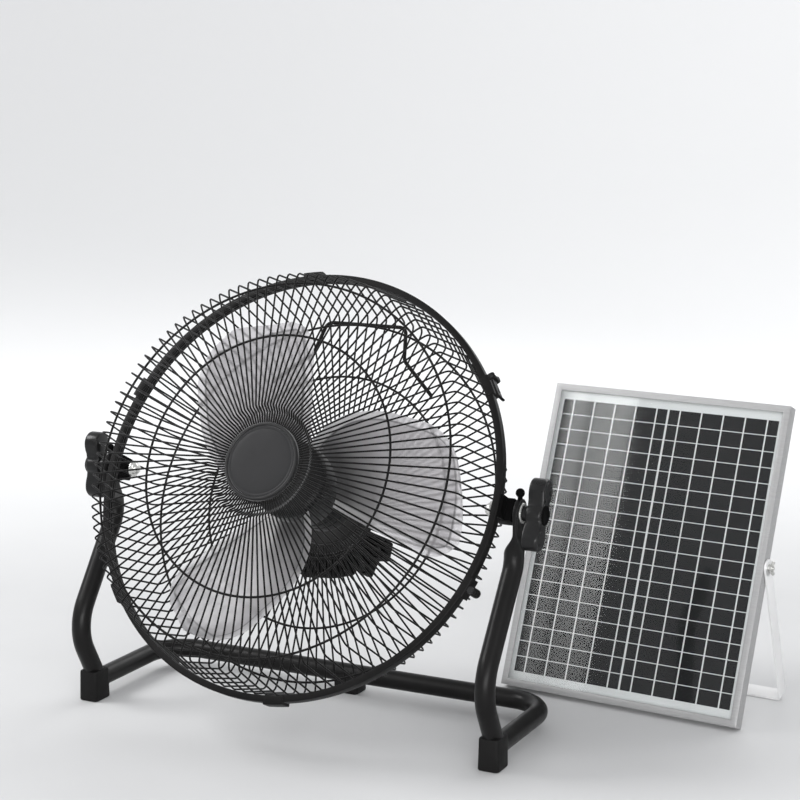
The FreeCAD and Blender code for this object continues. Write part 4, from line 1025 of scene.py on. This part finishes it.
def knob(turn):
    """Lobed grip with a crowned outer face and a plain hub behind."""
    steps = 144
    outline = [(r, 2 * pi * k / steps) for k, r in enumerate(knob_radii(steps))]
    # (x, inset from the outline)
    stations = [
        (306.0, 2.4), (306.25, 1.2), (307.0, 0.35), (308.4, 0.0), (322.8, 0.0), (324.4, 0.5),
        (325.6, 1.7), (326.0, 3.4), (326.0, 4.4), (325.3, 5.0), (325.3, 6.2),
    ]
    grip = Shape().loft([
        [(x, (r - inward) * cos(angle), (r - inward) * sin(angle)) for r, angle in outline]
        for x, inward in stations
    ])
    hub = [(4.3, 299.1), (9.5, 299.1), (9.5, 306.2), (4.3, 306.2)]
    grip.merge(lathe(hub, 48, rounding=0.5, axis="X"))
    disc = [(0, 325.0), (9.4, 325.0), (9.4, 325.75), (8.4, 325.95), (0, 326.0)]
    for y in (LOBE_REACH, -LOBE_REACH):
        grip.merge(lathe(disc, 40, rounding=[0, 0, 0.3, 0.3, 0], axis="X", at=(y, 0)))
    ring = [(11.9, 325.0), (12.9, 325.0), (12.9, 325.9), (11.9, 325.95)]
    grip.merge(lathe(ring, 60, rounding=0.2, axis="X"))
    return grip.moved(AT_PIVOT @ turn_x(turn))


def tilt_knobs():
    """The left grip stands upright, the right one is turned away from that."""
    for side, turn, mirror in (("right", 5.0, IDENTITY), ("left", TILT, FLIP_X)):
        body = f"tilt_knob_{side}"
        grip = knob(turn).moved(mirror)
        grip.build(body + "_grip", body, KNOB, f"knob_{side}", "knob_plastic", 32)
    profile = [(0, 326.04), (12, 326.04), (12, 327.4), (10.2, 328.2), (8.6, 328.0), (0, 327.7)]
    cap = pivot_lathe(profile, 64, rounding=[0, 0.2, 0.5, 0.4, 0.4, 0])
    for side, mirror in (("right", IDENTITY), ("left", FLIP_X)):
        body = f"tilt_knob_{side}"
        cap.moved(mirror).build(
            body + "_cap", body, PLASTIC, f"knob_cap_{side}", "knob_plastic", 32
        )


pivot_hardware()
tilt_knobs()

# ---------------------------------------------------------------- stand
PIVOT_Y = PIVOT_BACK * cos(radians(TILT))
PIVOT_Z = HEAD_HEIGHT - PIVOT_BACK * sin(radians(TILT))
LEG_X, LEG_RADIUS, LEG_TOP = 288, 12.5, 252.0
LEG_Y = PIVOT_Y - 1.6  # at the top of the round part
PADDLE_X, PADDLE_Z = 294.0, 280.0
PADDLE_HALF_THICK, PADDLE_HALF_WIDTH, PADDLE_POWER = 3.0, 17.0, 7.0


def leg_end():
    """The tube flows from round to a flat paddle with a round top."""
    # z, centre x, centre y, half size in x, half size in y, squareness power
    sections = []
    for k in range(13):
        u = k / 12.0
        ease = u * u * (3 - 2 * u)
        sections.append((
            LEG_TOP + (PADDLE_Z - LEG_TOP) * u,
            LEG_X + (PADDLE_X - LEG_X) * ease,
            LEG_Y + (PIVOT_Y - LEG_Y) * u,
            LEG_RADIUS + (PADDLE_HALF_THICK - LEG_RADIUS) * ease,
            LEG_RADIUS + (PADDLE_HALF_WIDTH - LEG_RADIUS) * ease,
            2.0 + (PADDLE_POWER - 2.0) * ease,
        ))
    flat = [(PADDLE_Z + (PIVOT_Z - PADDLE_Z) * k / 5, 3.0, PADDLE_HALF_WIDTH) for k in range(1, 6)]
    for k in range(1, 11):
        angle = radians(90.0 * k / 10.5)
        half_thick = PADDLE_HALF_THICK if k < 9 else 2.7
        rise, half_width = PADDLE_HALF_WIDTH * sin(angle), PADDLE_HALF_WIDTH * cos(angle)
        flat.append((PIVOT_Z + rise, half_thick, half_width))
    for z, half_x, half_y in flat:
        sections.append((z, PADDLE_X, PIVOT_Y, half_x, half_y, PADDLE_POWER))
    rings = []
    for z, x, y, half_x, half_y, power in sections:
        ring = []
        for i in range(48):
            c, s = cos(2 * pi * i / 48), sin(2 * pi * i / 48)
            across = half_x * copysign(abs(c) ** (2 / power), c)
            ring.append((x + across, y + half_y * copysign(abs(s) ** (2 / power), s), z))
        rings.append(ring)
    return Shape().loft(rings)


def stand_tube():
    leg = [
        (LEG_X, LEG_Y, LEG_TOP), (LEG_X, PIVOT_Y - 2.3, 238.0), (LEG_X, -74.0, 106.0),
        (LEG_X, -29.0, 25.0), (LEG_X, 146.0, 25.0),
    ]
    corners = leg + [(-x, y, z) for x, y, z in reversed(leg)]
    bends = [38.0, 60.0, 28.0, 50.0]
    frame = tube(fillet(corners, bends + bends[::-1], step=3.5), LEG_RADIUS, 40)
    frame.merge(leg_end().paired())
    frame.build("stand_frame_tube", "stand", POWDER, "stand_tube", "black_metal", 40)
    cap = [
        (0, 14.6), (3.0, 14.6), (3.0, 19.6), (4.4, 20.9), (5.4, 22.6), (5.6, 24.5),
        (5.2, 26.6), (4.0, 28.5), (2.2, 29.7), (0, 30.1),
    ]
    caps = lathe(cap, 32).moved(move(PADDLE_X, PIVOT_Y, PIVOT_Z)).paired()
    caps.build("leg_tip_caps", "stand", PLASTIC, "leg_end_caps", "black_plastic", 40)


def foot(x0, x1, y0, y1, corner, stations):
    """Rounded block. Stations are (z, inset)."""
    rings = []
    for z, d in stations:
        outline = rounded_rect(x0 + d, x1 - d, y0 + d, y1 - d, corner)
        rings.append([(x, y, z) for x, y in outline])
    return Shape().loft(rings)


stand_tube()
SOLE = [(0.0, 1.6), (0.6, 0.5), (1.8, 0.0)]
front_foot = foot(274, 302, -53, -19.5, 4.5, SOLE + [(38.6, 0.6), (40.2, 1.0), (41.0, 2.6)])
front_foot.paired().build("front_feet_boots", "stand", RUBBER, "front_feet", "rubber")
rear_foot = foot(-17.5, 17.5, 131, 161, 4.0, SOLE + [(21.5, 0.3), (24.0, 1.0), (25.0, 2.6)])
rear_foot.build("rear_foot_block", "stand", RUBBER, "rear_foot", "rubber")

# ---------------------------------------------------------------- panel
SHEET_INSET = 1.9
CELL_WIDTH, CELL_HEIGHT, CELL_PITCH, COLUMN_GAP = 153.3, 19.9, 21.07, 3.0
CELL_COLUMNS, CELL_ROWS, RIBBONS = 2, 18, 5
CELL_Y = (PANEL_LENGTH - CELL_ROWS * CELL_PITCH) / 2 + (CELL_PITCH - CELL_HEIGHT) / 2
CELL_X0 = (PANEL_WIDTH - CELL_COLUMNS * CELL_WIDTH - COLUMN_GAP) / 2
COLUMN_X = [CELL_X0 + column * (CELL_WIDTH + COLUMN_GAP) for column in range(CELL_COLUMNS)]
LEAD_X, LEAD_Z = 203, -12.5
# (distance in from the panel's edge, z)
RAIL = soften(
    [
        (0, 0), (9, 0), (9, -1.4), (1.6, -1.4), (1.6, -5.1), (9, -5.1), (9, -6.5),
        (1.6, -6.5), (1.6, -18.5), (14, -18.5), (14, -PANEL_DEPTH), (0, -PANEL_DEPTH),
    ],
    [0.5, 0.35, 0.2, 0.1, 0.1, 0.2, 0.2, 0.3, 0.3, 0.3, 0.3, 0.5],
    steps=2,
)


def rail(length):
    """One extrusion along +Y, mitred at both ends, with its inner side toward +X."""
    return Shape().loft([[(x, x, z) for x, z in RAIL], [(x, length - x, z) for x, z in RAIL]])


def panel_frame():
    side, end = rail(PANEL_LENGTH), rail(PANEL_WIDTH)
    rails = side.moved(IDENTITY)
    rails.merge(side, move(PANEL_WIDTH, PANEL_LENGTH, 0) @ spin(180))
    rails.merge(end, move(PANEL_WIDTH, 0, 0) @ spin(90))
    rails.merge(end, move(0, PANEL_LENGTH, 0) @ spin(-90))
    rails.build("panel_frame_rails", "panel", ALUMINIUM, "panel_frame", "aluminium", 30)


def sheet(z0, z1, bevel=0.0):
    x1, y1 = PANEL_WIDTH - SHEET_INSET, PANEL_LENGTH - SHEET_INSET
    return box(SHEET_INSET, x1, SHEET_INSET, y1, z0, z1, bevel)


def solar_cells():
    """The finger attribute runs from 0 to 1 up each cell."""
    cells, finger = Shape(), []
    for x in COLUMN_X:
        for row in range(CELL_ROWS):
            y = CELL_Y + row * CELL_PITCH
            cell = box(x, x + CELL_WIDTH, y, y + CELL_HEIGHT, -4.74, -4.54)
            cells.merge(cell)
            finger += [(p.y - y) / CELL_HEIGHT for p in cell.points]
    cells.build("silicon_cells", "panel", CELL, "solar_cells", "cell", 30, finger=finger)
    ribbons = Shape()
    top = CELL_Y + (CELL_ROWS - 1) * CELL_PITCH + CELL_HEIGHT
    for left in COLUMN_X:
        for k in range(RIBBONS):
            x = left + CELL_WIDTH * (k + 0.5) / RIBBONS
            ribbons.merge(box(x - 1.0, x + 1.0, CELL_Y - 3, top + 3, -4.51, -4.43))
    ribbons.build("tinned_ribbons", "panel", RIBBON, "cell_ribbons", "ribbon", 30)


def junction_box():
    shell = prism(
        rounded_rect(131, 211, 342, 402, 4), -21, -5.1, bevel=1.6, segments=3, top=False
    )
    shell.merge(prism(rounded_rect(137, 205, 348, 396, 3, 4), -21.8, -20.8, bevel=0.5, top=False))
    gland = [(2.62, 330.5), (5.4, 330.5), (6.5, 334), (6.5, 342.3), (2.62, 342.3)]
    gland = lathe(gland, 40, rounding=[0.3, 0.6, 0.6, 0.2, 0.2])
    shell.merge(gland, move(LEAD_X, 0, LEAD_Z) @ turn_x(-90))
    shell.build("junction_box_shell", "panel", PLASTIC, "junction_box", "black_plastic")


def cable():
    """Straight down from the junction box, three turns of coil, and down to the plug."""
    turns, coil, turn_drop, coil_y = 3, 36.0, 6.2, 240
    path = [Vector((LEAD_X, 341 - 8 * k, LEAD_Z)) for k in range(13)]
    for k in range(1, 36 * turns + 1):
        angle = -2 * pi * k / 36
        x, y = LEAD_X - coil + coil * cos(angle), coil_y + coil * sin(angle)
        path.append(Vector((x, y, LEAD_Z - turn_drop * k / 36)))
    for k in range(1, 9):
        path.append(Vector((LEAD_X, coil_y - 9 * k, LEAD_Z - turn_drop * turns)))
    tube(path, 2.5, 12).build("panel_cable", "panel", CABLE, "panel_lead", "rubber", 50)
    profile = [
        (0, 4), (3.6, 4), (5.6, 0), (5.6, -24), (4.8, -26),
        (2.7, -26), (2.7, -36), (1.1, -36), (1.1, -28), (0, -28),
    ]
    plug = lathe(profile, 40, rounding=[0, 0.8, 1.5, 0.8, 0.4, 0.2, 0.3, 0.1, 0, 0])
    for k in range(8):
        plug.merge(box(5.2, 5.9, -0.6, 0.6, -21, -6, bevel=0.15), spin(45 * k))
    plug = plug.moved(move(*path[-1]) @ turn_x(-90))
    plug.build("cable_plug", "panel", PLASTIC, "lead_plug", "black_plastic")


panel_frame()
sheet(-4.4, -1.45, bevel=0.15).build("panel_front_glass", "panel", GLASS, "panel_glass", "glass", 30)
solar_cells()
sheet(-5.07, -4.77).build("white_backsheet", "panel", SHEET, "panel_backsheet", "white_sheet", 30)
junction_box()
cable()

# ---------------------------------------------------------------- folding prop
HINGE_Y, HINGE_Z = 208.5, -12.0
PROP_LENGTH, PROP_OPEN = 206.95, 42.24
PROP_HALF_WIDTH, PROP_HALF_THICK = 11.0, 1.25
PROP_X = PROP_HALF_THICK + 0.5  # middle of each arm, out from the panel's side
AT_HINGE = move(0, HINGE_Y, HINGE_Z)
PANEL_MIRROR = move(PANEL_WIDTH, 0, 0) @ FLIP_X


def prop():
    """A flat strip bent into a U, with a round end on each arm."""
    left, right = -PROP_X, PANEL_WIDTH + PROP_X
    top, foot_y = HINGE_Y + 1.0, HINGE_Y - PROP_LENGTH + PROP_HALF_THICK
    line = [(left, top, 0), (left, foot_y, 0), (right, foot_y, 0), (right, top, 0)]
    line = fillet(line, [4.0, 4.0], step=12.0)
    thick, width = PROP_HALF_THICK, PROP_HALF_WIDTH
    section = [(-thick, -width), (thick, -width), (thick, width), (-thick, width)]
    section = soften(section, 0.5, steps=2)
    rings = []
    for p, along in zip(line, tangents(line)):
        side = Vector((along.y, -along.x, 0))
        rings.append([p + side * a + Vector((0, 0, b + HINGE_Z)) for a, b in section])
    strip = Shape().loft(rings)
    disc = [(width * cos(radians(a)), width * sin(radians(a))) for a in range(0, 360, 8)]
    disc = prism(disc, -thick, thick, bevel=0.5)
    for x in (left, right):
        strip.merge(disc, move(x, HINGE_Y, HINGE_Z) @ Z_TO_X)
    swing = AT_HINGE @ turn_x(PROP_OPEN) @ move(0, -HINGE_Y, -HINGE_Z)
    strip = strip.moved(swing)
    strip.build("folding_prop", "prop", PROP_ALUMINIUM, "kickstand", "aluminium")


def prop_bolts():
    profile = [
        (0, -10.5), (2.0, -10.5), (2.5, -10.0), (2.5, 1.65),
        (4.6, 1.65), (4.6, 4.6), (3.4, 5.2), (0, 5.2),
    ]
    bolt = lathe(profile, 36, rounding=[0, 0.2, 0.2, 0, 0.2, 0.5, 0.4, 0], axis="X")
    washer = [(2.55, -0.45), (5.0, -0.45), (5.0, -0.05), (2.55, -0.05)]
    bolt.merge(lathe(washer, 36, rounding=0.12, axis="X"))
    bolts = bolt.moved(AT_HINGE).paired(PANEL_MIRROR)
    bolts.build("prop_bolts", "panel", ZINC, "kickstand_bolts", "zinc")


def wing_nuts():
    """The wings spread to both sides of the screw axis."""
    barrel = [(2.56, -9.0), (4.0, -9.0), (5.0, -7.6), (5.2, -3.1), (2.56, -3.1)]
    nut = lathe(barrel, 40, rounding=0.3, axis="X")
    wings = [
        (-9.5, 1.2), (-8.2, 2.5), (-6.2, 2.2), (-3.4, 0.7), (3.4, 0.7), (6.2, 2.2), (8.2, 2.5),
        (9.5, 1.2), (9.0, -0.8), (6.5, -2.2), (3.0, -2.5), (-3.0, -2.5), (-6.5, -2.2), (-9.0, -0.8),
    ]
    wings = prism(soft_outline(wings, 0.8, 3), -1.6, 1.6, bevel=0.7)
    nut.merge(wings, move(-8.5, 0, 0) @ spin(90))
    nut = nut.moved(AT_HINGE @ turn_x(25))
    for side, place in (("left", IDENTITY), ("right", PANEL_MIRROR)):
        name = f"prop_wing_nut_{side}"
        nut.moved(place).build(name, f"wing_{side}", ZINC, f"wing_nut_{side}", "zinc")


prop()
prop_bolts()
wing_nuts()

# ---------------------------------------------------------------- CAD pieces kept
KEPT = {
    "foot_screws": ZINC, "latch_pin": BLACKENED, "band_screw": BLACKENED, "badge_screws": ZINC,
    "motor_screws": ZINC, "motor_stator": COPPER, "motor_bearings": STEEL, "motor_shaft": STEEL,
    "motor_magnets": MAGNET, "battery_cells": WRAP, "control_board": BOARD,
    "knob_nut_left": STEEL, "knob_nut_right": STEEL,
}
for name, material in KEPT.items():
    NODES[name].data.materials.clear()
    finish_mesh(NODES[name].data, material, sharp=35)
    if name != "foot_screws":
        head_pieces.append(NODES[name])


# ---------------------------------------------------------------- stage, in metres
def floor_material():
    """Pale floor that turns into a white, faintly glowing wall with height and distance."""
    m = Material("pale_floor")
    position = m.node("ShaderNodeNewGeometry").outputs["Position"]
    split = m.node("ShaderNodeSeparateXYZ")
    m.link(position, split.inputs[0])
    x, y, z = split.outputs
    # distance along the camera's line of sight
    far = m.maths("ADD", m.maths("MULTIPLY", x, -0.4465), m.maths("MULTIPLY", y, 0.8948))
    far = m.maths("MULTIPLY", m.maths("SUBTRACT", far, 0.55), 0.62, clamp=True)
    wall = m.maths("MAXIMUM", m.maths("MULTIPLY", z, 1.6, clamp=True), far)
    wall = m.ramp(wall, (0.0, 0.0), (1.0, 1.0))
    patches = m.noise(scale=3, detail=4)
    floor = m.ramp(patches, (0.3, (0.60, 0.603, 0.607)), (0.7, (0.63, 0.633, 0.637)))
    m.set("Base Color", m.mix(wall, floor, (0.86, 0.865, 0.87)))
    m.set("Roughness", 0.6)
    m.set("Specular IOR Level", 0.25)
    m.set("Emission Color", (1.0, 1.0, 1.0))
    m.set("Emission Strength", m.maths("MULTIPLY", wall, 0.13))
    m.bump(m.noise(scale=120, detail=3), strength=0.03, distance=0.0005)
    return m.material


def backdrop():
    """Floor that curves up into a plain wall far behind."""
    bend_y, bend_radius, half_width, drop, yaw = 2.6, 1.6, 14.0, 0.0002, -26.52
    profile = [(-9.0, 0.0), (bend_y, 0.0)]
    for k in range(1, 13):
        angle = radians(90.0 * k / 12)
        profile.append((bend_y + bend_radius * sin(angle), bend_radius * (1 - cos(angle))))
    profile.append((bend_y + bend_radius, 12.0))
    points = [(x, y, z - drop) for x in (-half_width, half_width) for y, z in profile]
    n = len(profile)
    mesh = bpy.data.meshes.new("studio_floor")
    mesh.from_pydata(points, [], [(i, i + 1, n + i + 1, n + i) for i in range(n - 1)])
    mesh.polygons.foreach_set("use_smooth", [True] * len(mesh.polygons))
    mesh.materials.append(floor_material())
    floor = add_object("studio_floor", mesh)
    floor.rotation_euler = (0, 0, radians(yaw))


def light(name, location, target, size, watts):
    lamp = bpy.data.lights.new(name, "AREA")
    lamp.shape = "RECTANGLE"
    lamp.size, lamp.size_y = size
    lamp.energy = watts
    obj = add_object(name, lamp)
    obj.location = location
    aim = Vector(target) - Vector(location)
    obj.rotation_euler = aim.to_track_quat("-Z", "Y").to_euler()


def set_world():
    world = bpy.data.worlds.new("studio")
    bpy.context.scene.world = world
    world.use_nodes = True
    background = world.node_tree.nodes["Background"]
    background.inputs["Color"].default_value = (0.98, 0.985, 1.0, 1)
    background.inputs["Strength"].default_value = 0.72


def add_camera():
    azimuth, drop, roll = radians(26.52), radians(10.59), radians(0.22)
    lens = bpy.data.cameras.new("camera")
    lens.lens = 89.397
    lens.sensor_width = 36.0
    lens.shift_x, lens.shift_y = 0.02, 0.02625
    lens.clip_end = 100
    obj = add_object("camera", lens)
    obj.location = ((1184.0 + STAND_X) * MM, (-2128.5 + STAND_Y) * MM, 848.9 * MM)
    look = Vector((-sin(azimuth) * cos(drop), cos(azimuth) * cos(drop), -sin(drop)))
    obj.rotation_mode = "QUATERNION"
    upright = look.to_track_quat("-Z", "Y")
    obj.rotation_quaternion = upright @ Matrix.Rotation(roll, 4, "Z").to_quaternion()
    bpy.context.scene.camera = obj
    return obj


def card_material():
    """Glow in two upright bands with a dim line between, stronger toward the top."""
    peak = 11.0
    m = Material("soft_card")
    m.tree.nodes.remove(m.shader)
    bands = m.ramp(
        m.attribute("across"), (0.0, 0.0), (0.03, 1.0), (0.30, 0.95), (0.34, 0.18),
        (0.365, 0.18), (0.40, 0.95), (0.97, 1.0), (1.0, 0.0),
    )
    fade = m.ramp(
        m.attribute("along"), (0.0, 0.34), (0.12, 0.42), (0.35, 0.54), (0.62, 0.74),
        (0.9, 1.0), (1.0, 1.0),
    )
    glow = m.node("ShaderNodeEmission")
    strength = m.maths("MULTIPLY", m.maths("MULTIPLY", bands, fade), peak)
    m.link(strength, glow.inputs["Strength"])
    m.surface(glow)
    return m.material


def reflection_card(camera):
    """A soft card in front of the panel, seen only as a pale streak in the glass.

    It lies on the lines from the camera's mirror image through a strip of the glass.
    """
    steps, glass_z, reach = 12, -1.45, 1.7
    x0, width, height = 20.0, 102.0, 430.0
    corner = PANEL @ Vector((0, 0, glass_z)) * MM
    normal = (PANEL.to_3x3() @ Vector((0, 0, 1))).normalized()
    eye = camera.location - normal * 2 * (camera.location - corner).dot(normal)
    points, across, along = [], [], []
    for j in range(steps + 1):
        for i in range(steps + 1):
            x, y = x0 + width * i / steps, height * j / steps
            spot = PANEL @ Vector((x, y, glass_z)) * MM
            points.append(tuple(eye + (spot - eye) * reach))
            across.append(i / steps)
            along.append(j / steps)
    row = steps + 1
    starts = [j * row + i for j in range(steps) for i in range(steps)]
    mesh = bpy.data.meshes.new("soft_card")
    mesh.from_pydata(points, [], [(a, a + 1, a + row + 1, a + row) for a in starts])
    mesh.materials.append(card_material())
    add_attributes(mesh, dict(across=across, along=along))
    card = add_object("soft_card", mesh)
    for ray in ("camera", "diffuse", "transmission", "volume_scatter", "shadow"):
        setattr(card, f"visible_{ray}", False)


backdrop()
light("key", location=(-2.7, -1.1, 2.7), target=(0, 0, 0.25), size=(1.5, 1.5), watts=78)
light("fill", location=(2.4, -2.6, 1.6), target=(0, 0, 0.3), size=(2.0, 1.6), watts=20)
light("low", location=(1.1, -2.2, 0.42), target=(0.08, 0, 0.3), size=(1.6, 0.6), watts=26)
light("rim", location=(0.6, 2.4, 2.4), target=(0, 0, 0.3), size=(2.4, 1.0), watts=26)
set_world()
camera = add_camera()
bpy.context.scene.view_settings.view_transform = "Standard"
reflection_card(camera)
# The head is kept out of the panel's reflection.
for piece in head_pieces:
    piece.visible_glossy = False
